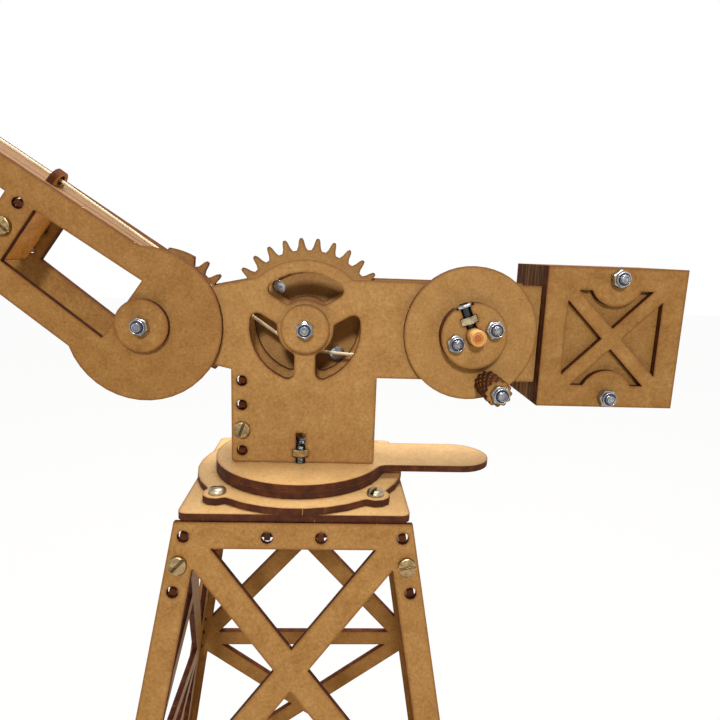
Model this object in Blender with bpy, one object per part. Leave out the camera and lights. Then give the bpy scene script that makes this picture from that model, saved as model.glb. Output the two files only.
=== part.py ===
"""Hand-cranked model crane in laser-cut 3 mm fibreboard, modelled as separate pieces.

Metres, +Z up, +X towards the counterweight, -Y towards the crank. The origin is on the floor under
the middle of the tower. The turntable slews on the tower, the jib luffs on the turntable through a
toothed quadrant and a gear, and the crank winds the hoist string.
"""
import math

import bmesh
import bpy
from mathutils import Matrix, Vector

# Sheet stock and the play between pieces
SHEET = 0.0030
SEAT = 0.0002
PIN_PLAY = 0.0003
CORNER = 0.0015
TAB_SHARE = 0.9

# M4 hardware
BOLT_R = 0.0020
NUT_FLATS = 0.0070
NUT_HEX_HEIGHT = 0.0034
NUT_COLLAR_R = 0.0031
NUT_HEIGHT = 0.0050
BOLT_PROUD = 0.0015
HEAD_R = 0.0038
HEAD_HEIGHT = 0.0024
TAB_HOLE_R = 0.0024
TAB_HEIGHT = 0.0024

# Tower, a pyramid of four lattice panels
BASE_SIDE = 0.2200
BASE_CORNER = 0.0080
TOWER_TOP_HALF = 0.0485
TOWER_RISE = 0.2810
TOWER_BATTER = 0.170
LATTICE_BAR = 0.0108
BAY_SHARE = 0.5
SIDE_INSET = 0.0035
LEG_HOLE_EDGE = 0.0050
LEG_HOLE_STEP = 0.0113
LEG_FOOT_ROW = 0.0294
HEAD_PLATE_DROP = 0.0060
HEAD_TAB_X = 0.0110
TOP_PLATE_HALF = 0.0476
TOP_PLATE_CORNER = 0.0035

# Turntable
RING_R = 0.0487
RING_BORE_R = 0.0215
LUG_PLACE_R = 0.0478
LUG_R = 0.0064
LUG_BLEND = 1.04
LUG_SWEEP = 84.0
DISC_R = 0.0402
HANDLE_HALF = 0.0155
HANDLE_REACH = 0.0910
HANDLE_FILLET = 0.0060

# Body plates, placed about the gear axle
AXLE_X = 0.0015
AXLE_HEIGHT = 0.0623
BODY_HALF = 0.0145
PIVOT_REACH = 0.0690
CRANK_REACH = 0.0730
ARM_HALF = 0.0217
ARM_END = 0.0508
PIVOT_END_R = 0.0110
ARM_TAPER = 12.1
BULGE_R = 0.0300
FOOT_HALF = 0.0325
WINDOW_R = 0.0245
WINDOW_INNER_R = 0.0125
WINDOW_SPOKE = 0.0093
WINDOW_CORNER = 0.0030
EDGE_HOLE_INSET = 0.0047
EDGE_TAB_HEIGHTS = (0.0054, 0.0268, 0.0380)
EDGE_SCREW_HEIGHT = 0.0156
FOOT_BOLT_X = 0.0002
FOOT_BOLT_TOP = 0.0080
FOOT_SLOT_TOP = 0.0142
FOOT_NUT_BOTTOM = 0.0029
BACK_SCREW_R = 0.0215
BACK_SCREW_ANGLE = 133.0

# Gear pair
GEAR_TEETH = 31
SECTOR_TEETH = 27
GEAR_PHASE = 95.4
TOOTH_ADDENDUM = 0.0026
TOOTH_DEDENDUM = 0.0031
TOOTH_TIP = 0.0022
TOOTH_FOOT = 0.0034
TOOTH_ROUND = 0.5
VALLEY_LIFT = 0.00018
VALLEY_WIDTH = 0.28
GEAR_FACE_Y = 0.0078
GEAR_WINDOW_R = 0.0250
SECTOR_FIRST_TOOTH = 50.45
SECTOR_TOOTH_COUNT = 8
SHOULDER_R = 0.0332
SHOULDER_START = 61.0

# Jib, built flat with its pivot at the local origin and its tip at -X, then raised
LUFF = 35.6
JIB_PLAY = 0.0005
JIB_HALF = 0.0276
JIB_TAPER = 2.70
JIB_HEEL_R = 0.0334
BACK_HEEL_REACH = 0.0080
JIB_BEAM = 0.0118
JIB_CUT_START = 0.0109
JIB_POST = 0.0130
JIB_BAYS = 3
JIB_TIP_REACH = 0.2320
JIB_TIP_SOLID = 0.0303
JIB_TAB = 0.0113
CROSS_FOOT = 0.0075
STRIP_START = 0.0160
STRIP_RECESS = 0.0012
STRIP_END_CLEAR = 0.0260
EYE_R = 0.0052
EYE_LIFT = 0.0018
EYE_BORE_RISE = 0.0029
EYE_BORE_R = 0.0022
PIVOT_DISC_R = 0.0114
SECTOR_EASE = 0.0006
SECTOR_HUB_R = 0.0183
SHEAVE_R = 0.0105
SHEAVE_RIM_R = 0.0130
SHEAVE_HALF = 0.0047
SHEAVE_HUB_R = 0.0050

# Spool, winch and crank
HUB_DISC_R = 0.0107
BACK_DISC_R = 0.0270
SPOOL_R = 0.0106
SPOOL_RIM_R = 0.0124
SPOOL_HALF = 0.0060
DOWEL_R = 0.0035
DOWEL_PROUD = 0.0080
CRANK_DISC_R = 0.0296
CRANK_HUB_R = 0.0144
CRANK_TURN = 21.5
CRANK_SCREW_R = 0.0088
KNOB_REACH = 0.0236
KNOB_R = 0.0058
KNOB_LOBES = 12
KNOB_LAYERS = 6
KNOB_WAVE = 0.0005
SET_BOLT_TOP = 0.0143
SET_HEAD_R = 0.0037
SET_HEAD_HEIGHT = 0.0011
SET_NUT_LOW = 0.0056
SET_NUT_HEIGHT = 0.0032
COLLAR_R = 0.0110

# Counterweight
WEIGHT_SIDE = 0.0620
WEIGHT_CENTRE_X = 0.1365
WEIGHT_LAYERS = 7
WEIGHT_BOLT_Z = 0.0263
WEIGHT_CUT_HALF = 0.0211
WEIGHT_BAR = 0.0064
WEIGHT_BOSS_R = 0.0121
LAYER_GROOVE = 0.0003

# Hoist string and hook
STRING_R = 0.0008
WINDING_LOOPS = 5
WINDING_GAP = 0.0006
WINDING_START = -74.0
STRING_RELEASE = -97.0
STRING_ARRIVES = -77.0
ARRIVING_TURN = 300.0
SAG_AFTER_ROLLER = 0.0300
SAG_BEFORE_DOWEL = 0.0410
HOOK_DROP = 0.1500
HOOK_R = 0.0120
HOOK_BAR = 0.0055
HOOK_SHANK = 0.0270
HOOK_TIP_TURN = 360.0
HOOK_BACK_TURN = 65.0
HOOK_THROAT = 0.00936
KNOT_R = 0.0017
KNOT_POCKET = 0.0055
KNOT_ROUND = 0.15

# Worked-out levels and places
FLOOR_SHEET_TOP = SHEET
BATTER_ANGLE = math.atan(TOWER_BATTER)
PANEL_TOP = FLOOR_SHEET_TOP + SEAT + TOWER_RISE
TOP_PLATE_Z = PANEL_TOP + SEAT
RING_Z = TOP_PLATE_Z + SHEET + SEAT
LOWER_DISC_Z = RING_Z + SHEET + SEAT
TURNTABLE_Z = LOWER_DISC_Z + SHEET + SEAT
BODY_Z = TURNTABLE_Z + SHEET + SEAT
PIVOT_X = AXLE_X - PIVOT_REACH
CRANK_X = AXLE_X + CRANK_REACH
BODY_INNER = BODY_HALF - SHEET
JIB_INNER = BODY_HALF + JIB_PLAY
JIB_OUTER = JIB_INNER + SHEET
GEAR_PITCH_R = PIVOT_REACH * GEAR_TEETH / (GEAR_TEETH + SECTOR_TEETH)
SECTOR_PITCH_R = PIVOT_REACH - GEAR_PITCH_R
PIN_HOLE_R = BOLT_R + PIN_PLAY
TIP_HALF = JIB_HALF - JIB_TIP_REACH * math.tan(math.radians(JIB_TAPER))
JIB_PITCH = (JIB_TIP_REACH - JIB_TIP_SOLID - JIB_CUT_START) / JIB_BAYS
JIB_CUT = JIB_PITCH - JIB_POST
TAB_REACH = SHEET * TAB_SHARE
WINDING_R = DOWEL_R + STRING_R + SEAT
WINDING_PITCH = 2 * STRING_R + WINDING_GAP

ROUND_STEPS = 40
SMALL_STEPS = 12
HOLE_STEPS = 8
TAB_STEPS = 10


def clear_scene():
    """Remove what the file holds before the crane is built."""
    for item in list(bpy.data.objects):
        bpy.data.objects.remove(item, do_unlink=True)


def finish(name, colour, roughness, metallic=0.0):
    """A plain surface with the colour of one stock."""
    material = bpy.data.materials.new(name)
    material.use_nodes = True
    shader = material.node_tree.nodes["Principled BSDF"]
    shader.inputs["Base Color"].default_value = (*colour, 1.0)
    shader.inputs["Roughness"].default_value = roughness
    shader.inputs["Metallic"].default_value = metallic
    return material


def empty(name, parent, place, luff=0.0):
    """A joint's frame: an empty on its axis, turned about Y by luff degrees."""
    frame = bpy.data.objects.new(name, None)
    frame.parent = parent
    frame.location = place
    frame.rotation_euler = (0.0, math.radians(luff), 0.0)
    bpy.context.scene.collection.objects.link(frame)
    return frame


def settle(name, bm, parent, material, place=(0.0, 0.0, 0.0), turn=(0.0, 0.0, 0.0)):
    """Turn a finished bmesh into a named object under its parent."""
    bmesh.ops.recalc_face_normals(bm, faces=bm.faces)
    mesh = bpy.data.meshes.new(name)
    bm.to_mesh(mesh)
    bm.free()
    mesh.shade_smooth()
    mesh.set_sharp_from_angle(angle=math.radians(35.0))
    mesh.materials.append(material)
    piece = bpy.data.objects.new(name, mesh)
    piece.parent = parent
    piece.location = place
    piece.rotation_euler = turn
    bpy.context.scene.collection.objects.link(piece)
    return piece


def polar(radius, degrees, centre=(0.0, 0.0)):
    """A point at a radius and an angle from a centre."""
    angle = math.radians(degrees)
    return (centre[0] + radius * math.cos(angle), centre[1] + radius * math.sin(angle))


def arc(centre, radius, start, end, steps):
    """Points along an arc, both ends included, angles in degrees."""
    return [polar(radius, start + (end - start) * i / steps, centre) for i in range(steps + 1)]


def circle(centre, radius, steps=HOLE_STEPS):
    """A closed round loop whose flats clear the true radius."""
    outer = radius / math.cos(math.pi / steps)
    return [polar(outer, 360.0 * (i + 0.5) / steps, centre) for i in range(steps)]


def disc_loop(radius, steps=ROUND_STEPS, centre=(0.0, 0.0)):
    """A closed round loop with its corners on the radius."""
    return [polar(radius, 360.0 * i / steps, centre) for i in range(steps)]


def rectangle(x0, z0, x1, z1):
    """A closed rectangle."""
    return [(x0, z0), (x1, z0), (x1, z1), (x0, z1)]


def rounded(points, radius, steps=3):
    """A polygon with each corner replaced by a small arc of the given radius."""
    loop = []
    for before, corner, after in zip(points[-1:] + points[:-1], points, points[1:] + points[:1]):
        a = (Vector(before) - Vector(corner)).normalized()
        b = (Vector(after) - Vector(corner)).normalized()
        half = a.angle(b) / 2
        centre = Vector(corner) + (a + b).normalized() * (radius / math.sin(half))
        first = Vector(corner) + a * (radius / math.tan(half)) - centre
        last = Vector(corner) + b * (radius / math.tan(half)) - centre
        sweep = math.atan2(first.x * last.y - first.y * last.x, first.dot(last))
        for i in range(steps + 1):
            spoke = Matrix.Rotation(sweep * i / steps, 2) @ first
            loop.append(tuple(centre + spoke))
    return loop


def clip(loop, point, inward):
    """The part of a convex loop on the inward side of a line through point."""
    kept = []
    for a, b in zip(loop, loop[1:] + loop[:1]):
        da = (a[0] - point[0]) * inward[0] + (a[1] - point[1]) * inward[1]
        db = (b[0] - point[0]) * inward[0] + (b[1] - point[1]) * inward[1]
        if da >= 0:
            kept.append(a)
        if (da > 0) != (db > 0) and da != db:
            share = da / (da - db)
            kept.append((a[0] + (b[0] - a[0]) * share, a[1] + (b[1] - a[1]) * share))
    return kept


SHEET_PLANES = {
    "upright": (lambda u, v, w: (u, w, v), Vector((0.0, 1.0, 0.0))),
    "flat": (lambda u, v, w: (u, v, w), Vector((0.0, 0.0, 1.0))),
    "cross": (lambda u, v, w: (w, u, v), Vector((1.0, 0.0, 0.0))),
}


def sheet(name, outline, holes, low, parent, material, plane="upright", thick=SHEET, **placing):
    """A flat piece: an outline with holes, cut from a sheet that starts at low and is thick deep."""
    place_point, direction = SHEET_PLANES[plane]
    bm = bmesh.new()
    edges = []
    for loop in (outline, *holes):
        corners = [bm.verts.new(place_point(u, v, low)) for u, v in loop]
        edges += [bm.edges.new(pair) for pair in zip(corners, corners[1:] + corners[:1])]
    bmesh.ops.triangle_fill(bm, use_beauty=True, use_dissolve=False, edges=edges)
    raised = bmesh.ops.extrude_face_region(bm, geom=bm.faces[:])["geom"]
    bmesh.ops.translate(
        bm, verts=[v for v in raised if isinstance(v, bmesh.types.BMVert)], vec=direction * thick)
    return settle(name, bm, parent, material, **placing)


def hexagon(flats, steps=SMALL_STEPS):
    """Ring radii of a hexagon at the angles of a round ring with the same number of points."""
    return [flats / 2 / math.cos((math.radians(360.0 * i / steps + 30) % math.radians(60))
                                 - math.radians(30)) for i in range(steps)]


def turned(name, stations, parent, material, axis="Y", steps=SMALL_STEPS, **placing):
    """A solid turned about an axis: stations are (place along the axis, radius or ring of radii)."""
    frames = {
        "X": lambda a, b, h: (h, a, b), "Y": lambda a, b, h: (b, h, a), "Z": lambda a, b, h: (a, b, h)}
    bm = bmesh.new()
    rings = []
    for height, radius in stations:
        radii = radius if isinstance(radius, list) else [radius] * steps
        rings.append([bm.verts.new(frames[axis](*polar(r, 360.0 * i / steps), height))
                      for i, r in enumerate(radii)])
    for lower, upper in zip(rings, rings[1:]):
        for i in range(steps):
            j = (i + 1) % steps
            bm.faces.new((lower[i], lower[j], upper[j], upper[i]))
    bm.faces.new(rings[0])
    bm.faces.new(rings[-1])
    return settle(name, bm, parent, material, **placing)


def locknut(start, way):
    """Stations of a locknut that seats at start, with the bolt's end past it, going the given way."""
    hexa = hexagon(NUT_FLATS)
    return [(start, BOLT_R), (start, hexa), (start + way * NUT_HEX_HEIGHT, hexa),
            (start + way * NUT_HEX_HEIGHT, NUT_COLLAR_R), (start + way * NUT_HEIGHT, NUT_COLLAR_R),
            (start + way * NUT_HEIGHT, BOLT_R), (start + way * (NUT_HEIGHT + BOLT_PROUD), BOLT_R)]


def through_bolt(name, head_seat, nut_seat, parent, material, axis="Y", **placing):
    """A bolt with a cheese head at one end and its locknut at the other, one solid."""
    way = 1 if nut_seat > head_seat else -1
    head = [(head_seat - way * HEAD_HEIGHT, HEAD_R), (head_seat, HEAD_R), (head_seat, BOLT_R)]
    return turned(name, head + locknut(nut_seat, way), parent, material, axis, **placing)


def subtract(piece, cutter_mesh_piece):
    """Cut a hidden piece out of another."""
    cutter_mesh_piece.hide_render = True
    cutter_mesh_piece.display_type = "WIRE"
    cut = piece.modifiers.new("cut " + cutter_mesh_piece.name, "BOOLEAN")
    cut.operation = "DIFFERENCE"
    cut.solver = "EXACT"
    cut.object = cutter_mesh_piece


def spoked_windows(inner, outer, spoke, corner, turn=0.0):
    """Three windows between two radii, parted by parallel-sided spokes at 30, 150 and 270 degrees."""
    half = spoke / 2
    inner_corner = corner / 2
    windows = []
    for middle in (90.0, 210.0, 330.0):
        spoke_line = middle - 60.0 + turn
        in_angle = spoke_line + math.degrees(math.asin((half + inner_corner) / (inner + inner_corner)))
        out_angle = spoke_line + math.degrees(math.asin((half + corner) / (outer - corner)))
        side = arc(polar(inner + inner_corner, in_angle), inner_corner,
                   in_angle + 180, spoke_line + 270, 2)
        side += arc(polar(outer - corner, out_angle), corner, spoke_line - 90, out_angle, 3)
        centre_line = math.radians(middle + turn)
        mirror = Matrix(((math.cos(2 * centre_line), math.sin(2 * centre_line)),
                         (math.sin(2 * centre_line), -math.cos(2 * centre_line))))
        far_side = [tuple(mirror @ Vector(p)) for p in reversed(side)]
        sweep = 2 * (middle + turn) - 2 * out_angle
        outer_arc = arc((0, 0), outer, out_angle, out_angle + sweep, 7)[1:-1]
        sweep = 2 * (middle + turn) - 2 * in_angle
        inner_arc = arc((0, 0), inner, in_angle + sweep, in_angle, 4)[1:-1]
        windows.append(side + outer_arc + far_side + inner_arc)
    return windows


def tooth(pitch_r, angle):
    """One slim tooth with a rounded tip, from its foot on one side to its foot on the other."""
    tip = pitch_r + TOOTH_ADDENDUM
    foot = pitch_r - TOOTH_DEDENDUM + TOOTH_FOOT / 2
    wide = TOOTH_TIP / 2
    narrow = wide * TOOTH_ROUND
    shape = [(foot, -TOOTH_FOOT / 2), (tip - wide, -wide), (tip, -narrow),
             (tip, narrow), (tip - wide, wide), (foot, TOOTH_FOOT / 2)]
    return [polar(math.hypot(r, w), angle + math.degrees(math.atan2(w, r))) for r, w in shape]


def valley(pitch_r, angle, pitch_angle):
    """The round bottom between a tooth at angle and the next one."""
    root = pitch_r - TOOTH_DEDENDUM + VALLEY_LIFT
    return [polar(root, angle + pitch_angle * (1 + side * VALLEY_WIDTH) / 2) for side in (-1, 1)]


def build_tower(wood):
    """Base, four lattice panels, the head plate inside them and the top plate."""
    half = BASE_SIDE / 2
    base_loop = rounded(rectangle(-half, -half, half, half), BASE_CORNER)
    sheet("base_plate", base_loop, [], 0.0, None, wood, "flat")

    inner_drop = SHEET * math.sin(BATTER_ANGLE)
    length = (TOWER_RISE - inner_drop) / math.cos(BATTER_ANGLE)
    taper = TOWER_BATTER * math.cos(BATTER_ANGLE)
    wall = SHEET / math.cos(BATTER_ANGLE)
    for name, turn in (("front", 0.0), ("right", 90.0), ("back", 180.0), ("left", 270.0)):
        on_side = name in ("left", "right")
        set_in = SIDE_INSET if on_side else 0.0
        edge = TOWER_TOP_HALF - (wall + PIN_PLAY if on_side else 0.0)
        panel = tower_panel(edge, length, taper, on_side)
        frame = empty("panel_frame_" + name, None, (0.0, 0.0, 0.0))
        frame.rotation_euler = (0.0, 0.0, math.radians(turn))
        sheet("tower_panel_" + name, panel[0], panel[1], 0.0, frame, wood,
              place=(0.0, -(TOWER_TOP_HALF - set_in), PANEL_TOP), turn=(-BATTER_ANGLE, 0.0, 0.0))

    head_drop = HEAD_PLATE_DROP
    head_z = PANEL_TOP - head_drop
    reach_y = TOWER_TOP_HALF + TOWER_BATTER * head_drop - wall - PIN_PLAY
    reach_x = reach_y - SIDE_INSET
    loop = []
    for side, (reach, other) in enumerate(((reach_y, reach_x), (reach_x, reach_y)) * 2):
        turn = Matrix.Rotation(math.radians(90.0 * side), 2)
        edge = [(-other, -reach)]
        for x in (-HEAD_TAB_X, HEAD_TAB_X):
            edge += [(x - TAB_HEIGHT / 2, -reach), (x - TAB_HEIGHT / 2, -reach - TAB_REACH),
                     (x + TAB_HEIGHT / 2, -reach - TAB_REACH), (x + TAB_HEIGHT / 2, -reach)]
        loop += [tuple(turn @ Vector(p)) for p in edge]
    lug = LUG_PLACE_R / math.sqrt(2)
    screw_holes = [circle((x * lug, y * lug), PIN_HOLE_R) for x in (-1, 1) for y in (-1, 1)]
    centre = circle((0.0, 0.0), PIN_HOLE_R)
    sheet("tower_head_plate", loop, screw_holes + [centre], head_z - SHEET / 2, None, wood, "flat")
    top = TOP_PLATE_HALF
    sheet("tower_top_plate", rounded(rectangle(-top, -top, top, top), TOP_PLATE_CORNER),
          screw_holes + [centre], TOP_PLATE_Z, None, wood, "flat")


def tower_panel(edge, length, taper, on_side):
    """Outline and cut-outs of a lattice panel, its top edge at zero and its outer face at y = 0."""
    def half_at(v):
        return edge - taper * v

    bar = LATTICE_BAR
    lean = math.hypot(1.0, taper)
    tops = (-bar, -bar - BAY_SHARE * (length - 3 * bar) - bar)
    bottoms = (tops[1] + bar, -length + bar)
    holes = []
    for top, bottom in zip(tops, bottoms):
        inner_top = half_at(top) - bar * lean
        inner_bottom = half_at(bottom) - bar * lean
        bay = [(-inner_top, top), (-inner_bottom, bottom), (inner_bottom, bottom), (inner_top, top)]
        node_top = (half_at(top) - bar / 2, top + bar / 2)
        node_bottom = (half_at(bottom) - bar / 2, bottom - bar / 2)
        fall = Vector((node_top[0] + node_bottom[0], node_bottom[1] - node_top[1])).normalized()
        across = Vector((-fall.y, fall.x))
        mirrored = Vector((-across.x, across.y))
        start = Vector((-node_top[0], node_top[1]))
        other = Vector((node_top[0], node_top[1]))
        for a, b in ((1, 1), (-1, -1), (-1, 1), (1, -1)):
            window = clip(bay, start + across * a * bar / 2, across * a)
            window = clip(window, other + mirrored * b * bar / 2, mirrored * b)
            holes.append(window)
    rows = (-HEAD_PLATE_DROP, bottoms[0] + LEG_HOLE_STEP, -length + LEG_FOOT_ROW)
    for row in rows:
        for side in (-1, 1):
            for step in range(3):
                v = row - step * LEG_HOLE_STEP
                if not on_side:
                    size = (PIN_HOLE_R, HOLE_STEPS) if step == 1 else (TAB_HOLE_R, TAB_STEPS)
                    holes.append(circle((side * (half_at(v) - LEG_HOLE_EDGE), v), *size))
    for side in (-1, 1):
        holes.append(circle((side * HEAD_TAB_X, -HEAD_PLATE_DROP / math.cos(BATTER_ANGLE)),
                            TAB_HOLE_R, TAB_STEPS))
    outline = [(half_at(0), 0.0), (-half_at(0), 0.0)]
    for side, order in ((-1, rows), (1, tuple(reversed(rows)))):
        steps = (0, 2) if side < 0 else (2, 0)
        corner = (side * half_at(-length), -length)
        if side > 0:
            outline.append(corner)
        if on_side:
            for row in order:
                for step in steps:
                    v = row - step * LEG_HOLE_STEP
                    near, far = (v + TAB_HEIGHT / 2, v - TAB_HEIGHT / 2)[::-side]
                    outline += [(side * half_at(near), near), (side * (half_at(near) + TAB_REACH), near),
                                (side * (half_at(far) + TAB_REACH), far), (side * half_at(far), far)]
        if side < 0:
            outline.append(corner)
    return outline, holes


def build_ring(wood, steel):
    """The fixed ring that the turntable runs on, and its four screws down through the top plate."""
    lugs = []
    lug_half = math.degrees(math.asin(LUG_R / LUG_PLACE_R))
    for corner in (45.0, 135.0, 225.0, 315.0):
        middle = polar(LUG_PLACE_R, corner)
        lugs += arc((0, 0), RING_R, corner - 90 + lug_half * LUG_BLEND, corner - lug_half * LUG_BLEND, 7)
        lugs += arc(middle, LUG_R, corner - LUG_SWEEP, corner + LUG_SWEEP, 5)
    holes = [circle(polar(LUG_PLACE_R, corner), PIN_HOLE_R) for corner in (45, 135, 225, 315)]
    bore = disc_loop(RING_BORE_R, 32)
    sheet("turntable_ring", lugs, holes + [bore], RING_Z, None, wood, "flat")
    for number, corner in enumerate((45.0, 135.0, 225.0, 315.0), 1):
        nut_seat = PANEL_TOP - HEAD_PLATE_DROP - SHEET / 2 - SEAT
        through_bolt("ring_screw_%d" % number, RING_Z + SHEET + SEAT, nut_seat, None, steel, "Z",
                     place=(*polar(LUG_PLACE_R, corner), 0.0))


def build_turntable(slew, wood, steel):
    """Lower disc, turntable plate with its handle, and the bolts that come up through them."""
    bolt_holes = [circle((FOOT_BOLT_X, side * (BODY_HALF - SHEET / 2)), PIN_HOLE_R) for side in (-1, 1)]
    centre = circle((0.0, 0.0), PIN_HOLE_R)
    lower = LOWER_DISC_Z - BODY_Z
    upper = TURNTABLE_Z - BODY_Z
    sheet("turntable_lower_disc", disc_loop(DISC_R), bolt_holes + [centre], lower, slew, wood, "flat")
    root = math.sqrt((DISC_R + HANDLE_FILLET) ** 2 - (HANDLE_HALF + HANDLE_FILLET) ** 2)
    lean = math.degrees(math.atan2(HANDLE_HALF + HANDLE_FILLET, root))
    loop = arc((0, 0), DISC_R, lean, 360 - lean, 40)
    loop += arc((root, -HANDLE_HALF - HANDLE_FILLET), HANDLE_FILLET, 180 - lean, 90, 4)
    loop += arc((HANDLE_REACH - HANDLE_HALF, 0), HANDLE_HALF, -90, 90, 14)
    loop += arc((root, HANDLE_HALF + HANDLE_FILLET), HANDLE_FILLET, 270, 180 + lean, 4)
    sheet("turntable_plate", loop, bolt_holes + [centre], upper, slew, wood, "flat")
    for name, side in (("front", -1), ("back", 1)):
        head_seat = lower - SEAT
        hexa = hexagon(NUT_FLATS)
        nut_top = FOOT_NUT_BOTTOM + NUT_HEX_HEIGHT
        stations = [(head_seat - HEAD_HEIGHT, HEAD_R), (head_seat, HEAD_R), (head_seat, BOLT_R),
                    (FOOT_NUT_BOTTOM, BOLT_R), (FOOT_NUT_BOTTOM, hexa), (nut_top, hexa),
                    (nut_top, BOLT_R), (FOOT_BOLT_TOP, BOLT_R)]
        turned("foot_bolt_" + name, stations, slew, steel, "Z",
               place=(FOOT_BOLT_X, side * (BODY_HALF - SHEET / 2), 0.0))
    under_head = PANEL_TOP - HEAD_PLATE_DROP - SHEET / 2 - SEAT - BODY_Z
    through_bolt("slew_bolt", under_head, upper + SHEET + SEAT, slew, steel, "Z")


def body_outline():
    """Outline of a body plate about the gear axle, with the foot, both arms and the round bulge."""
    slope = math.tan(math.radians(ARM_TAPER))
    rise = PIVOT_END_R / math.cos(math.radians(ARM_TAPER)) + PIVOT_REACH * slope
    square = 1 + slope * slope
    left_x = (-rise * slope - math.sqrt(square * BULGE_R ** 2 - rise ** 2)) / square
    left_angle = math.degrees(math.atan2(rise + slope * left_x, left_x))
    right_angle = math.degrees(math.asin(ARM_HALF / BULGE_R))
    foot = -AXLE_HEIGHT
    arm_end = WEIGHT_CENTRE_X - AXLE_X + ARM_END - WEIGHT_SIDE / 2
    loop = [(arm_end, -ARM_HALF), (arm_end, ARM_HALF)]
    loop += arc((0, 0), BULGE_R, right_angle, left_angle, 12)
    loop += arc((-PIVOT_REACH, 0), PIVOT_END_R, 90 + ARM_TAPER, 270 - ARM_TAPER, 10)
    loop.append((-FOOT_HALF, -rise + slope * FOOT_HALF))
    loop += arc((-FOOT_HALF + CORNER, foot + CORNER), CORNER, 180, 270, 3)
    slot = FOOT_BOLT_X - AXLE_X
    shaft = BOLT_R + SEAT
    pocket = NUT_FLATS / 2 + SEAT
    low = foot + FOOT_NUT_BOTTOM - SEAT
    high = low + NUT_HEX_HEIGHT + 2 * SEAT
    top = foot + FOOT_SLOT_TOP
    loop += [(slot - shaft, foot), (slot - shaft, low), (slot - pocket, low), (slot - pocket, high),
             (slot - shaft, high), (slot - shaft, top), (slot + shaft, top), (slot + shaft, high),
             (slot + pocket, high), (slot + pocket, low), (slot + shaft, low), (slot + shaft, foot)]
    loop += arc((FOOT_HALF - CORNER, foot + CORNER), CORNER, 270, 360, 3)
    loop.append((FOOT_HALF, -ARM_HALF))
    return loop


def build_body(slew, wood, steel):
    """The two body plates, the cross plate between their left edges and the counterweight."""
    edge_x = -FOOT_HALF + EDGE_HOLE_INSET
    edge_holes = [circle((edge_x, height - AXLE_HEIGHT), TAB_HOLE_R, TAB_STEPS)
                  for height in EDGE_TAB_HEIGHTS]
    screw_hole = circle((edge_x, EDGE_SCREW_HEIGHT - AXLE_HEIGHT), PIN_HOLE_R)
    pins = [circle((0, 0), PIN_HOLE_R), circle((-PIVOT_REACH, 0), PIN_HOLE_R)]
    dowel_hole = circle((CRANK_REACH, 0), DOWEL_R + PIN_PLAY, 20)
    weight_x = WEIGHT_CENTRE_X - AXLE_X
    windows = spoked_windows(WINDOW_INNER_R, WINDOW_R, WINDOW_SPOKE, WINDOW_CORNER)
    common = [screw_hole, dowel_hole] + pins
    at = (AXLE_X, 0.0, AXLE_HEIGHT)
    sheet("body_plate_front", body_outline(), common + edge_holes + windows, -BODY_HALF, slew, wood,
          place=at)
    back_screws = [circle(polar(BACK_SCREW_R, BACK_SCREW_ANGLE + turn), PIN_HOLE_R) for turn in (0, 180)]
    sheet("body_plate_back", body_outline(), common + edge_holes[:2] + back_screws, BODY_INNER, slew,
          wood, place=at)
    sheet("hub_disc_back", disc_loop(BACK_DISC_R), [pins[0]] + back_screws, BODY_HALF + SEAT, slew, wood,
          place=at)
    sheet("hub_disc_front", disc_loop(HUB_DISC_R, 32), [pins[0]], -BODY_HALF - SEAT - SHEET, slew, wood,
          place=at)
    outer = BODY_HALF + 2 * SEAT + SHEET
    through_bolt("centre_bolt", outer, -outer, slew, steel, place=at)

    wall = BODY_INNER - SEAT
    gear_clear = GEAR_FACE_Y - SHEET / 2
    notch = EDGE_TAB_HEIGHTS[1] + TAB_HEIGHT
    tab_out = TAB_REACH + SEAT
    loop = [(-wall, SEAT), (wall, SEAT)]
    for height in EDGE_TAB_HEIGHTS[:2]:
        low, high = height - TAB_HEIGHT / 2, height + TAB_HEIGHT / 2
        loop += [(wall, low), (wall + tab_out, low), (wall + tab_out, high), (wall, high)]
    top = EDGE_TAB_HEIGHTS[-1] + TAB_HEIGHT
    loop += [(wall, notch), (gear_clear, notch), (gear_clear, top), (-wall, top)]
    for height in reversed(EDGE_TAB_HEIGHTS):
        low, high = height - TAB_HEIGHT / 2, height + TAB_HEIGHT / 2
        loop += [(-wall, high), (-wall - tab_out, high), (-wall - tab_out, low), (-wall, low)]
    sheet("body_cross_plate", loop, [], AXLE_X + edge_x - SHEET / 2, slew, wood, "cross")
    build_weight(slew, weight_x, wood, steel)


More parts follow.
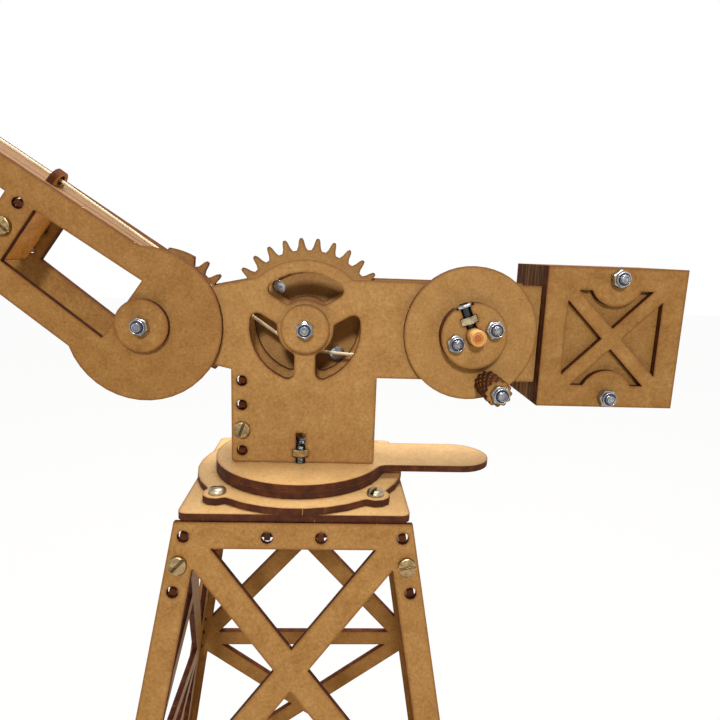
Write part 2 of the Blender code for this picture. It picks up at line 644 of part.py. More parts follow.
def build_weight(slew, weight_x, wood, steel):
    """The counterweight: a face and a cover at each side of a stack that the arms slide into."""
    half = WEIGHT_SIDE / 2
    square = rectangle(-half, -half, half, half)
    bolts = [circle((0, side * WEIGHT_BOLT_Z), PIN_HOLE_R) for side in (-1, 1)]
    cut = WEIGHT_CUT_HALF
    diagonal = WEIGHT_BAR / math.sqrt(2)
    windows = []
    for side in (-1, 1):
        windows.append([(side * cut, cut - diagonal), (side * diagonal, 0.0), (side * cut, diagonal - cut)])
        boss_x = math.sqrt(WEIGHT_BOSS_R ** 2 - (WEIGHT_BOLT_Z - cut) ** 2)
        low = math.degrees(math.atan2(WEIGHT_BOLT_Z - cut, boss_x))
        boss = arc((0, WEIGHT_BOLT_Z), WEIGHT_BOSS_R, 180 + low, 360 - low, 10)
        loop = [(-cut + diagonal, cut)] + boss + [(cut - diagonal, cut), (0.0, diagonal)]
        windows.append([(x, side * z) for x, z in loop])
    at = (AXLE_X + weight_x, 0.0, AXLE_HEIGHT)
    cover = BODY_HALF + 2 * SEAT
    face = cover + SHEET + SEAT
    for name, y0, y1 in (("front", -cover - SHEET, -face - SHEET), ("back", cover, face)):
        sheet("weight_cover_" + name, square, bolts, y0, slew, wood, place=at)
        sheet("weight_face_" + name, square, bolts + windows, y1, slew, wood, place=at)

    core_half = BODY_HALF + SEAT
    thick = 2 * (BODY_INNER - SEAT) / WEIGHT_LAYERS
    edges = [-core_half, -BODY_INNER + SEAT]
    edges += [-BODY_INNER + SEAT + thick * (i + 1) for i in range(WEIGHT_LAYERS)] + [core_half]
    stations = []
    for low, high in zip(edges, edges[1:]):
        stations += [(low + SEAT / 2, half), (high - SEAT / 2, half)]
        if high < core_half:
            stations += [(high - SEAT / 2, half - LAYER_GROOVE), (high + SEAT / 2, half - LAYER_GROOVE)]
    bm = bmesh.new()
    rings = []
    for y, size in stations:
        rings.append([bm.verts.new((x, y, z)) for x, z in rectangle(-size, -size, size, size)])
    for lower, upper in zip(rings, rings[1:]):
        for i in range(4):
            bm.faces.new((lower[i], lower[(i + 1) % 4], upper[(i + 1) % 4], upper[i]))
    bm.faces.new(rings[0])
    bm.faces.new(rings[-1])
    core = settle("weight_core", bm, slew, wood, place=at)
    arm_reach = ARM_END + SEAT
    slot_half = ARM_HALF + SEAT
    for name, low in (("front", -core_half - SHEET), ("back", BODY_INNER - SEAT)):
        slot = rectangle(-half - SHEET, -slot_half, -half + arm_reach, slot_half)
        cutter = sheet("arm_slot_" + name, slot, [], low, slew, wood, thick=2 * SHEET + 2 * SEAT, place=at)
        subtract(core, cutter)
    bore = [(-core_half - SHEET, PIN_HOLE_R), (core_half + SHEET, PIN_HOLE_R)]
    for side in (-1, 1):
        hole = turned("weight_bore_%d" % side, bore, slew, steel,
                      place=(at[0], 0.0, at[2] + side * WEIGHT_BOLT_Z))
        subtract(core, hole)
    seat = face + SHEET + SEAT
    for name, side in (("upper", 1), ("lower", -1)):
        through_bolt("weight_bolt_" + name, seat, -seat, slew, steel,
                     place=(at[0], 0.0, at[2] + side * WEIGHT_BOLT_Z))


def build_gear(axle, wood):
    """The hand-turned luffing gear with its three windows, and the string's roller on the same bolt."""
    pitch = 360.0 / GEAR_TEETH
    loop = []
    for i in range(GEAR_TEETH):
        angle = GEAR_PHASE + i * pitch
        loop += tooth(GEAR_PITCH_R, angle) + valley(GEAR_PITCH_R, angle, pitch)
    windows = spoked_windows(WINDOW_INNER_R, GEAR_WINDOW_R, WINDOW_SPOKE, WINDOW_CORNER)
    sheet("drive_gear", loop, windows + [circle((0, 0), PIN_HOLE_R)], GEAR_FACE_Y, axle, wood)


def build_spool(slew, wood):
    """The roller that the hoist string runs under, free on the centre bolt."""
    flange = SPOOL_HALF / 4
    stations = [(-SPOOL_HALF, SPOOL_RIM_R), (-SPOOL_HALF + flange, SPOOL_RIM_R),
                (-SPOOL_HALF + flange, SPOOL_R), (SPOOL_HALF - flange, SPOOL_R),
                (SPOOL_HALF - flange, SPOOL_RIM_R), (SPOOL_HALF, SPOOL_RIM_R)]
    bored("string_spool", stations, PIN_HOLE_R, slew, wood, 24, place=(AXLE_X, 0.0, AXLE_HEIGHT))


def bored(name, stations, bore, parent, material, steps, **placing):
    """A turned piece with a round bore right through it, about Y."""
    bm = bmesh.new()
    wide = bore / math.cos(math.pi / steps)
    outline = stations + [(stations[-1][0], wide), (stations[0][0], wide)]
    rings = []
    for y, radius in outline:
        loop = [polar(radius, 360.0 * i / steps) for i in range(steps)]
        rings.append([bm.verts.new((x, y, z)) for x, z in loop])
    for lower, upper in zip(rings, rings[1:] + rings[:1]):
        for i in range(steps):
            j = (i + 1) % steps
            bm.faces.new((lower[i], lower[j], upper[j], upper[i]))
    return settle(name, bm, parent, material, **placing)


def countersunk(name, face, nut_seat, parent, material, **placing):
    """A flat-headed screw whose head lies just under a face, with its locknut at the other end."""
    way = 1 if nut_seat > face else -1
    under = face + way * SEAT / 2
    head = [(under, HEAD_R), (under + way * (HEAD_R - BOLT_R), BOLT_R)]
    return turned(name, head + locknut(nut_seat, way), parent, material, **placing)


def head_recess(piece, face, way, parent, material, place):
    """The cone that a flat screw head sits in."""
    wide = HEAD_R + SEAT
    start = face - way * SHEET
    stations = [(start, wide), (face, wide), (face + way * (wide - BOLT_R), BOLT_R),
                (face + way * (SHEET - SEAT), BOLT_R)]
    name = "recess_%s_%d" % (piece.name, len(piece.modifiers))
    subtract(piece, turned(name, stations, parent, material, place=place))


def tube(name, path, radius, parent, material, sides=8):
    """A round cord along a path, closed at both ends."""
    points = [Vector(p) for p in path]
    bm = bmesh.new()
    rings = []
    side = None
    for i, point in enumerate(points):
        ahead = (points[min(i + 1, len(points) - 1)] - point).normalized()
        behind = (point - points[max(i - 1, 0)]).normalized()
        along = (ahead + behind).normalized()
        if side is None:
            side = along.cross(Vector((0.0, 1.0, 0.0))).normalized()
        side = (side - along * side.dot(along)).normalized()
        other = along.cross(side)
        ring = []
        for k in range(sides):
            a, b = polar(radius, 360.0 * k / sides)
            ring.append(bm.verts.new(point + side * a + other * b))
        rings.append(ring)
    for lower, upper in zip(rings, rings[1:]):
        for i in range(sides):
            j = (i + 1) % sides
            bm.faces.new((lower[i], lower[j], upper[j], upper[i]))
    bm.faces.new(rings[0])
    bm.faces.new(rings[-1])
    return settle(name, bm, parent, material)


def build_crank(slew, crank, wood, dowel_wood, steel, cord):
    """The winch: a dowel through both body plates, its crank disc with two hub discs, and the knob."""
    inner = -JIB_INNER
    front = inner - SHEET
    disc = sheet("crank_disc", disc_loop(CRANK_DISC_R, 48),
                 [circle((0, 0), DOWEL_R + PIN_PLAY, 20), circle((0, -KNOB_REACH), PIN_HOLE_R),
                  circle((-CRANK_SCREW_R, 0), PIN_HOLE_R), circle((CRANK_SCREW_R, 0), PIN_HOLE_R)],
                 front, crank, wood)
    half = BOLT_R + SEAT
    nut_half = NUT_FLATS / 2 + SEAT
    nut_low = SET_NUT_LOW - SEAT
    nut_top = SET_NUT_LOW + SET_NUT_HEIGHT
    nut_high = nut_top + SEAT
    mouth = SET_HEAD_R + SEAT
    head_low = SET_BOLT_TOP - SET_HEAD_HEIGHT
    seat_r = head_low - SEAT
    mouth_z = math.sqrt(CRANK_HUB_R ** 2 - mouth ** 2)
    lean = math.degrees(math.atan2(mouth_z, mouth))
    bore = DOWEL_R + PIN_PLAY
    bore_z = math.sqrt(bore ** 2 - half ** 2)
    bore_lean = math.degrees(math.atan2(bore_z, half))
    slotted = arc((0, 0), CRANK_HUB_R, 180 - lean, 360 + lean, 34)
    slotted += [(mouth, seat_r), (half, seat_r), (half, nut_high), (nut_half, nut_high),
                (nut_half, nut_low), (half, nut_low)]
    slotted += arc((0, 0), bore, bore_lean, bore_lean - 2 * bore_lean - 180, 18)
    slotted += [(-half, nut_low), (-nut_half, nut_low), (-nut_half, nut_high), (-half, nut_high),
                (-half, seat_r), (-mouth, seat_r)]
    screws = [circle((x, 0), PIN_HOLE_R) for x in (-CRANK_SCREW_R, CRANK_SCREW_R)]
    level = front
    for name in ("inner", "outer"):
        level -= SEAT + SHEET
        sheet("crank_hub_" + name, slotted, screws, level, crank, wood)
    for name, x in (("left", -CRANK_SCREW_R), ("right", CRANK_SCREW_R)):
        countersunk("crank_screw_" + name, inner, level - SEAT, crank, steel, place=(x, 0.0, 0.0))
        head_recess(disc, inner, -1, crank, steel, (x, 0.0, 0.0))
    head_recess(disc, inner, -1, crank, steel, (0.0, 0.0, -KNOB_REACH))
    nut_corner = NUT_FLATS / math.sqrt(3)
    hexa = hexagon(NUT_FLATS)
    turned("set_bolt", [(DOWEL_R + SEAT, BOLT_R), (SET_NUT_LOW, BOLT_R), (SET_NUT_LOW, hexa),
                        (nut_top, hexa), (nut_top, BOLT_R), (head_low, BOLT_R),
                        (head_low, SET_HEAD_R), (SET_BOLT_TOP, SET_HEAD_R)],
           crank, steel, "Z", place=(0.0, front - SEAT - nut_corner, 0.0))
    dowel_end = BODY_HALF + SEAT + SHEET + DOWEL_R
    turned("winch_dowel", [(level - DOWEL_PROUD, DOWEL_R), (dowel_end, DOWEL_R)], crank, dowel_wood,
           steps=24)
    collar = [circle((0, 0), DOWEL_R + PIN_PLAY, 20)]
    sheet("winch_collar", disc_loop(COLLAR_R, 32), collar, BODY_HALF + SEAT, crank, wood)

    knob = empty("knob_axis", crank, (0.0, 0.0, -KNOB_REACH))
    stations = []
    knob_end = front - SEAT
    steps = KNOB_LOBES * 2
    lobed = [KNOB_R - 2 * KNOB_WAVE * (i % 2) for i in range(steps)]
    core = [KNOB_R - 2.6 * KNOB_WAVE] * steps
    for layer in range(KNOB_LAYERS):
        shift = 0 if layer % 2 == 0 else 1
        ring = lobed[shift:] + lobed[:shift]
        stations += [(knob_end, ring), (knob_end - SHEET, ring)]
        knob_end -= SHEET
        if layer < KNOB_LAYERS - 1:
            stations += [(knob_end, core), (knob_end - SEAT, core)]
            knob_end -= SEAT
    bored_rings("crank_knob", stations, PIN_HOLE_R, knob, dowel_wood)
    countersunk("knob_bolt", inner, knob_end - SEAT, crank, steel, place=(0.0, 0.0, -KNOB_REACH))

    coil = []
    per_turn = 12
    for i in range(WINDING_LOOPS * per_turn + 1):
        x, z = polar(WINDING_R, WINDING_START + 360.0 * i / per_turn - CRANK_TURN)
        coil.append((x, (i / per_turn - WINDING_LOOPS / 2) * WINDING_PITCH, z))
    tube("string_winding", coil, STRING_R, crank, cord, 6)
    print("string_winding least gap to itself: %.2f mm" % (1000 * least_gap(coil, per_turn)))


def least_gap(coil, per_turn):
    """The least clear distance between one turn of a coil and any other, measured on its points."""
    points = [Vector(p) for p in coil]
    steps = 8
    fine = [a.lerp(b, i / steps) for a, b in zip(points, points[1:]) for i in range(steps)]
    apart = per_turn * steps // 2
    closest = min((a - b).length for i, a in enumerate(fine) for b in fine[i + apart:])
    return closest - 2 * STRING_R


def bored_rings(name, stations, bore, parent, material):
    """A solid of shaped rings about Y with a round bore through it."""
    steps = len(stations[0][1])
    bm = bmesh.new()
    wide = [bore / math.cos(math.pi / steps)] * steps
    rings = []
    for y, radii in stations + [(stations[-1][0], wide), (stations[0][0], wide)]:
        loop = [polar(r, 360.0 * i / steps) for i, r in enumerate(radii)]
        rings.append([bm.verts.new((x, y, z)) for x, z in loop])
    for lower, upper in zip(rings, rings[1:] + rings[:1]):
        for i in range(steps):
            j = (i + 1) % steps
            bm.faces.new((lower[i], lower[j], upper[j], upper[i]))
    return settle(name, bm, parent, material)


def jib_edge(reach):
    """Half the height of the jib at a distance from its pivot."""
    return JIB_HALF - reach * math.tan(math.radians(JIB_TAPER))


def build_jib(slew, jib, wood, steel):
    """The jib: two pierced plates, the strip and cross plates between them, and the sector plate."""
    angle = math.radians(JIB_TAPER)
    tip_r = TIP_HALF * math.cos(angle)
    touch = JIB_TIP_REACH - tip_r * math.sin(angle)
    heel = 0.0
    for _ in range(20):
        heel = math.sqrt(JIB_HEEL_R ** 2 - jib_edge(heel) ** 2)
    heel_angle = math.degrees(math.atan2(jib_edge(heel), -heel))
    tip = arc((-JIB_TIP_REACH, 0), tip_r, 90 + JIB_TAPER, 270 - JIB_TAPER, 16)
    outline = arc((0, 0), JIB_HEEL_R, -heel_angle, heel_angle, 30) + tip
    back_heel_r = jib_edge(BACK_HEEL_REACH) * math.cos(angle)
    back_outline = arc((-BACK_HEEL_REACH, 0), back_heel_r, JIB_TAPER - 90, 90 - JIB_TAPER, 30) + tip
    posts = [JIB_CUT_START + JIB_CUT + JIB_POST / 2 + i * JIB_PITCH for i in range(JIB_BAYS)]
    holes = [circle((0, 0), PIN_HOLE_R), circle((-JIB_TIP_REACH, 0), PIN_HOLE_R)]
    for i, post in enumerate(posts):
        start = JIB_CUT_START + i * JIB_PITCH
        end = start + JIB_CUT
        high, low = jib_edge(start) - JIB_BEAM, jib_edge(end) - JIB_BEAM
        holes.append([(-start, -high), (-start, high), (-end, low), (-end, -low)])
        holes += [circle((-post, side * JIB_TAB), TAB_HOLE_R, TAB_STEPS) for side in (-1, 1)]
        holes.append(circle((-post, 0), PIN_HOLE_R))
    sheet("jib_plate_front", outline, holes, -JIB_OUTER, jib, wood)
    sheet("jib_plate_back", back_outline, holes, JIB_INNER, jib, wood)

    wall = JIB_INNER - SEAT
    strip_end = JIB_TIP_REACH - STRIP_END_CLEAR
    slots = []
    cosine, sine = math.cos(angle), math.sin(angle)
    for post in (posts[0], posts[-1]):
        middle = (-post - (STRIP_RECESS + SHEET / 2) * sine) / cosine
        reach = SHEET / 2 + SEAT * 1.5
        slots.append(rectangle(middle - reach, -EYE_R - SEAT, middle + reach, EYE_R + SEAT))
    sheet("jib_top_strip", rectangle(-strip_end / cosine, -wall, -STRIP_START / cosine, wall), slots,
          -STRIP_RECESS - SHEET, jib, wood, "flat", place=(0.0, 0.0, JIB_HALF), turn=(0.0, -angle, 0.0))
    tab_out = TAB_REACH + SEAT
    for i, post in enumerate(posts):
        top = jib_edge(post) - (STRIP_RECESS + SHEET) / cosine - SEAT - SHEET / 2 * math.tan(angle)
        bottom = CROSS_FOOT - jib_edge(post)
        loop = [(-wall, bottom), (wall, bottom)]
        for centre in (-JIB_TAB, JIB_TAB):
            low, high = centre - TAB_HEIGHT / 2, centre + TAB_HEIGHT / 2
            loop += [(wall, low), (wall + tab_out, low), (wall + tab_out, high), (wall, high)]
        loop.append((wall, top))
        bores = []
        if i != 1:
            deck = jib_edge(post) - STRIP_RECESS
            loop += [(EYE_R, top)] + arc((0, deck + EYE_LIFT), EYE_R, 0, 180, 10) + [(-EYE_R, top)]
            bores.append(circle((0, deck + EYE_BORE_RISE), EYE_BORE_R))
        loop.append((-wall, top))
        for centre in (JIB_TAB, -JIB_TAB):
            low, high = centre - TAB_HEIGHT / 2, centre + TAB_HEIGHT / 2
            loop += [(-wall, high), (-wall - tab_out, high), (-wall - tab_out, low), (-wall, low)]
        sheet("jib_cross_plate_%d" % (i + 1), loop, bores, -post - SHEET / 2, jib, wood, "cross")
    build_sector(jib, posts[0], wood)

    pin = [circle((0, 0), PIN_HOLE_R)]
    disc = disc_loop(PIVOT_DISC_R, 32)
    sheet("pivot_disc_front", disc, pin, -JIB_OUTER - SEAT - SHEET, jib, wood)
    sheet("pivot_disc_back", disc, pin, JIB_OUTER + SEAT, jib, wood)
    seat = JIB_OUTER + 2 * SEAT + SHEET
    through_bolt("jib_pivot_bolt", seat, -seat, jib, steel)
    seat = JIB_OUTER + SEAT
    through_bolt("tip_axle", seat, -seat, jib, steel, place=(-JIB_TIP_REACH, 0.0, 0.0))
    return posts


def build_sector(jib, first_post, wood):
    """The toothed quadrant fixed inside the jib, with its rib out to the first cross plate."""
    pitch = 360.0 / SECTOR_TEETH
    first = SECTOR_FIRST_TOOTH + LUFF
    root = SECTOR_PITCH_R - TOOTH_DEDENDUM
    last = first - pitch * (SECTOR_TOOTH_COUNT - 1)
    loop = [polar(root, last - pitch * 0.5)]
    for i in range(SECTOR_TOOTH_COUNT):
        angle = last + i * pitch
        loop += tooth(SECTOR_PITCH_R, angle)
        if i < SECTOR_TOOTH_COUNT - 1:
            loop += valley(SECTOR_PITCH_R, angle, pitch)
    ease = SECTOR_EASE
    shoulder_end = math.degrees(math.acos(-(STRIP_START - ease) / SHOULDER_R))
    loop += [polar(root, first + pitch * 0.5)]
    loop += arc((0, 0), SHOULDER_R, SHOULDER_START + LUFF, shoulder_end, 4)
    under = STRIP_RECESS + SHEET + 2 * SEAT
    rib_end = first_post - SHEET / 2 - SEAT
    loop += [(-STRIP_START + ease, jib_edge(STRIP_START) - under - SEAT),
             (-rib_end, jib_edge(rib_end) - under - SEAT), (-rib_end, jib_edge(rib_end) - JIB_BEAM + ease),
             (-JIB_CUT_START + ease, jib_edge(JIB_CUT_START) - JIB_BEAM + ease)]
    low = 180.0 + math.degrees(math.acos((JIB_CUT_START - ease) / SECTOR_HUB_R))
    loop += arc((0, 0), SECTOR_HUB_R, low, 360 + last - pitch * 0.8, 10)
    sheet("jib_sector_plate", loop, [circle((0, 0), PIN_HOLE_R)], GEAR_FACE_Y, jib, wood)


def build_tip(tip, wood):
    """The sheave at the jib's tip, with a long hub that fills the space between the plates."""
    side = JIB_INNER - SEAT
    rim = SHEAVE_HALF / 3
    stations = [(-side, SHEAVE_HUB_R), (-SHEAVE_HALF, SHEAVE_HUB_R), (-SHEAVE_HALF, SHEAVE_RIM_R),
                (-SHEAVE_HALF + rim, SHEAVE_RIM_R), (-SHEAVE_HALF + 1.5 * rim, SHEAVE_R),
                (SHEAVE_HALF - 1.5 * rim, SHEAVE_R), (SHEAVE_HALF - rim, SHEAVE_RIM_R),
                (SHEAVE_HALF, SHEAVE_RIM_R), (SHEAVE_HALF, SHEAVE_HUB_R), (side, SHEAVE_HUB_R)]
    bored("tip_sheave", stations, PIN_HOLE_R, tip, wood, 24)


def build_strings(slew, jib, hook, posts, wood, cord):
    """The hoist string in the lengths between its guides."""
    wrap = SHEAVE_R + STRING_R + SEAT
    eyes = [(-post, jib_edge(post) - STRIP_RECESS + EYE_BORE_RISE) for post in (posts[0], posts[-1])]
    near, far = eyes
    fall = Vector((-JIB_TIP_REACH - far[0], -far[1]))
    line = math.degrees(math.atan2(fall.y, fall.x)) - math.degrees(math.asin(wrap / fall.length))
    over = arc((-JIB_TIP_REACH, 0), wrap, (line - 90.0) % 360, 180.0 + LUFF, 9)
    path = [(near[0] - SEAT, 0.0, near[1]), (far[0], 0.0, far[1])]
    path += [(x, 0.0, z) for x, z in over]
    tube("string_along_jib", path, STRING_R, jib, cord)

    lift = Matrix.Rotation(math.radians(LUFF), 3, "Y")
    eye = lift @ Vector((near[0] + SEAT, 0.0, near[1])) + Vector((PIVOT_X, 0.0, AXLE_HEIGHT))
    roll = SPOOL_R + STRING_R + SEAT
    axle = Vector((AXLE_X, 0.0, AXLE_HEIGHT))
    run = axle - eye
    dip = math.degrees(math.atan2(run.z, run.x)) - math.degrees(math.asin(roll / run.length))
    start = dip - 90.0
    x, z = polar(roll, start, (AXLE_X, AXLE_HEIGHT))
    touch = Vector((x, 0.0, z))
    slack = (eye - touch).normalized() * SEAT
    reach = eye - touch
    path = [eye - reach * (i / 12) for i in range(12)] + [touch + slack]
    tube("string_upper", path, STRING_R, slew, cord)

    path = [(x, 0.0, z) for x, z in arc((AXLE_X, AXLE_HEIGHT), roll, start, STRING_RELEASE, 5)]
    side = -(WINDING_LOOPS / 2 + 1) * WINDING_PITCH
    turn = arc((CRANK_X, AXLE_HEIGHT), WINDING_R, STRING_ARRIVES, STRING_ARRIVES + ARRIVING_TURN, 16)
    first = Vector(path[-1])
    last = Vector((turn[0][0], side, turn[0][1]))
    ahead, rise = polar(SAG_AFTER_ROLLER, STRING_RELEASE + 90.0)
    leave_roller = first + Vector((ahead, 0.0, rise))
    ahead, rise = polar(SAG_BEFORE_DOWEL, STRING_ARRIVES + 90.0)
    meet_dowel = last - Vector((ahead, 0.0, rise))
    for i in range(1, 14):
        u = i / 14
        point = first * (1 - u) ** 3 + leave_roller * (3 * u * (1 - u) ** 2)
        path.append(tuple(point + meet_dowel * (3 * u * u * (1 - u)) + last * u ** 3))
    path += [(x, side, z) for x, z in turn]
    tube("string_lower", path, STRING_R, slew, cord, 6)

    bar = HOOK_BAR
    neck = math.degrees(math.acos(-bar / HOOK_R))
    centre = (0.0, -HOOK_SHANK)
    inner = HOOK_R - bar
    tip = HOOK_TIP_TURN
    loop = [(-bar, 0.0)] + arc(centre, HOOK_R, neck, tip, 20)
    loop += arc(polar(HOOK_R - bar / 2, tip, centre), bar / 2, tip, tip + 180, 5)[1:-1]
    loop += arc(centre, inner, tip, HOOK_BACK_TURN, 18)
    loop += [(bar, HOOK_THROAT - HOOK_SHANK), (bar, 0.0)]
    slot = STRING_R + SEAT
    pocket = KNOT_R + SEAT
    depth = KNOT_POCKET
    loop += [(slot, 0.0), (slot, -depth), (pocket, -depth), (pocket, -depth - 2 * pocket),
             (-pocket, -depth - 2 * pocket), (-pocket, -depth), (-slot, -depth), (-slot, 0.0)]
    sheet("hook", loop, [], -SHEET / 2, hook, wood, place=(-wrap, 0.0, -HOOK_DROP))
    knot_top = -HOOK_DROP - depth - SEAT
    knot = 2 * KNOT_R
    ease = KNOT_ROUND * knot
    shoulder = KNOT_R * (1 - KNOT_ROUND)
    turned("string_fall", [(-SEAT, STRING_R), (knot_top, STRING_R), (knot_top - ease, shoulder),
                           (knot_top - knot / 2, KNOT_R), (knot_top - knot + ease, shoulder),
                           (knot_top - knot, STRING_R)], hook, cord, "Z", 8, place=(-wrap, 0.0, 0.0))


def main():
    """Build the crane."""
    clear_scene()
    wood = finish("fibreboard", (0.45, 0.26, 0.10), 0.75)
    dowel_wood = finish("dowel wood", (0.62, 0.38, 0.15), 0.6)
    steel = finish("zinc", (0.62, 0.63, 0.66), 0.3, 1.0)
    cord = finish("string", (0.80, 0.70, 0.50), 0.9)
    build_tower(wood)
    build_ring(wood, steel)
    slew = empty("slew_axis", None, (0.0, 0.0, BODY_Z))
    build_turntable(slew, wood, steel)
    build_body(slew, wood, steel)
    axle = empty("gear_axis", slew, (AXLE_X, 0.0, AXLE_HEIGHT))
    build_gear(axle, wood)
    build_spool(slew, wood)
    crank = empty("crank_axis", slew, (CRANK_X, 0.0, AXLE_HEIGHT), -CRANK_TURN)
    build_crank(slew, crank, wood, dowel_wood, steel, cord)
    jib = empty("jib_axis", slew, (PIVOT_X, 0.0, AXLE_HEIGHT), LUFF)
    posts = build_jib(slew, jib, wood, steel)
    tip = empty("tip_axis", jib, (-JIB_TIP_REACH, 0.0, 0.0))
    build_tip(tip, wood)
    hook = empty("hook_axis", jib, (-JIB_TIP_REACH, 0.0, 0.0), -LUFF)
    build_strings(slew, jib, hook, posts, wood, cord)


main()
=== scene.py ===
"""Looks of the laser-cut model crane: board, hardware, dowel, string, camera and light."""
import math

import bmesh
import bpy
from mathutils import Matrix, Vector


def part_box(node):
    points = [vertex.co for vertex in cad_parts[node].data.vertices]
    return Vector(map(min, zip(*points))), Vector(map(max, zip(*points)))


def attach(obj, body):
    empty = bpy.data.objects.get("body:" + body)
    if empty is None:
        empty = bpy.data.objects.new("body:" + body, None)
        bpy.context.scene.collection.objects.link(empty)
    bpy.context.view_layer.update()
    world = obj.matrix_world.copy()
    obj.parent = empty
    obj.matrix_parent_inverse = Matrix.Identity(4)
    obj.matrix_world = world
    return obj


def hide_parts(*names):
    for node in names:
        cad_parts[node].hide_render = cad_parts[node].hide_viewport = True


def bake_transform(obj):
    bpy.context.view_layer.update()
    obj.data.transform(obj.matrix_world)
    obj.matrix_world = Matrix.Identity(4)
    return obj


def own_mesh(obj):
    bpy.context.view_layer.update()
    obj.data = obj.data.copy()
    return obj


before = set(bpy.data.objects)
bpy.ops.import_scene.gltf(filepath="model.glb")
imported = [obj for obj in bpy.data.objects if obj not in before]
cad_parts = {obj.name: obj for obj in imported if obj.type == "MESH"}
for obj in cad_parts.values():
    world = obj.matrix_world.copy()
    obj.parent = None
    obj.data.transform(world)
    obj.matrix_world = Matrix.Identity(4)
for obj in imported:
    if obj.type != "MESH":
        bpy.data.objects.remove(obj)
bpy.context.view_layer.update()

# Sizes shared with the model, in metres and degrees.
# All over: sheet, the play between pieces, bolts and nuts
SHEET = 0.0030
SEAT = 0.0002
BOLT_R = 0.0020
BOLT_PROUD = 0.0015
NUT_FLATS = 0.0070
NUT_CORNER = NUT_FLATS / math.sqrt(3.0)
NUT_HEX = 0.0034
NUT_TALL = 0.0050
HEAD_R = 0.0038
HEAD_TALL = 0.0024

# Tower panels: how they lean, in degrees and as a slope, and where their screws are
LEAN = math.radians(9.65)
TOWER_BATTER = 0.170
TOWER_TOP_HALF = 0.0485
TOWER_RISE = 0.2810
LATTICE_BAR = 0.0108
BAY_SHARE = 0.5
HEAD_PLATE_DROP = 0.0060
LEG_FOOT_ROW = 0.0294
LEG_HOLE_STEP = 0.0113
LEG_HOLE_EDGE = 0.0050

# Body plates and the large disc behind them
AXLE_X = 0.0015
BODY_HALF = 0.0145
FOOT_HALF = 0.0325
EDGE_HOLE_INSET = 0.0047
EDGE_SCREW_HEIGHT = 0.0156
FOOT_NUT_BOTTOM = 0.0029
BACK_SCREW_R = 0.0215
BACK_SCREW_ANGLE = 133.0

# Jib
LUFF = 35.6
JIB_TAPER = 2.70
JIB_HALF = 0.0276
JIB_OUTER = 0.0180
POSTS = (0.0680, 0.1952)
STRIP_RECESS = 0.0012
EYE_BORE_RISE = 0.0029

# Winch, knob and wheels
DOWEL_R = 0.0035
CRANK_TURN = 21.5
SET_BOLT_TOP = 0.0143
SET_HEAD_LOW = 0.0132
SET_HEAD_R = 0.0037
SET_NUT_LOW = 0.0056
SET_NUT_HIGH = 0.0088
KNOB_R = 0.0058
KNOB_LAYERS = 6
KNOB_LOBES = 12
SPOOL_R = 0.0106
SPOOL_RIM_R = 0.0124
SPOOL_HALF = 0.0060
SHEAVE_R = 0.0105
SHEAVE_RIM_R = 0.0130
SHEAVE_HALF = 0.0047
SHEAVE_HUB_R = 0.0050
SHEAVE_HUB_HALF = 0.0148

# String, its winding and its knot
STRING_R = 0.0008
WINDING_R = DOWEL_R + STRING_R + SEAT
WINDING_LOOPS = 5
WINDING_PITCH = 2 * STRING_R + 0.0006
WINDING_START = -74.0
STRING_RELEASE = -97.0
STRING_ARRIVES = -77.0
ARRIVING_TURN = 300.0
SAG_AFTER_ROLLER = 0.0300
SAG_BEFORE_DOWEL = 0.0410
KNOT_R = 0.0017
KNOT_POCKET = 0.0055

# Detail that is modelled here alone
HEX_SIDES = 6
ROUND_SIDES = 32
HEAD_SIDES = 40
DOWEL_SIDES = 48
WHEEL_SIDES = 64
NUT_CHAMFER = 0.00035
COLLAR_R = NUT_FLATS * 0.44
COLLAR_ROUND = 0.00022
INSERT_R = COLLAR_R * 0.85
INSERT_LOW = NUT_TALL - 0.0012
INSERT_HIGH = NUT_TALL - 0.0003
SHANK_CHAMFER = 0.0006
SHANK_CUP = 0.0003
CROSS_LENGTH = 0.0040
CROSS_WIDTH = 0.0009
THIN_HEAD = 0.0005
DOWEL_ROUND = 0.0006
SCREW_LIFT = 0.00005
THREAD_PITCH = 0.0007
THREAD_DEPTH = 0.0004
RING_SPACING = 0.0011
KNOB_WAVE = 0.00088
KNOB_STAGGER = 15.0
STRANDS = 3
SIDES_PER_STRAND = 5
STRAND_LAY = 0.0042
STRING_STEP = 0.00045

UP = (0.0, 0.0, 1.0)
SIDEWAYS = (0.0, 1.0, 0.0)
NEAR = 1e-5


def middle(node):
    """The middle of a model node's box."""
    low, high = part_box(node)
    return (Vector(low) + Vector(high)) / 2


def low_high(node, axis):
    """How far a model node reaches along an axis."""
    low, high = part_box(node)
    return low[axis], high[axis]


def body_foot():
    """The height at which the body plates stand on the turntable."""
    return low_high("body_plate_front", 2)[0]


def polar(radius, degrees, centre=(0.0, 0.0)):
    """A point of the X-Z plane at a distance and an angle from a centre in it."""
    angle = math.radians(degrees)
    return Vector((centre[0] + radius * math.cos(angle), 0.0, centre[1] + radius * math.sin(angle)))


# Materials. Colours are display values from 0 to 255.

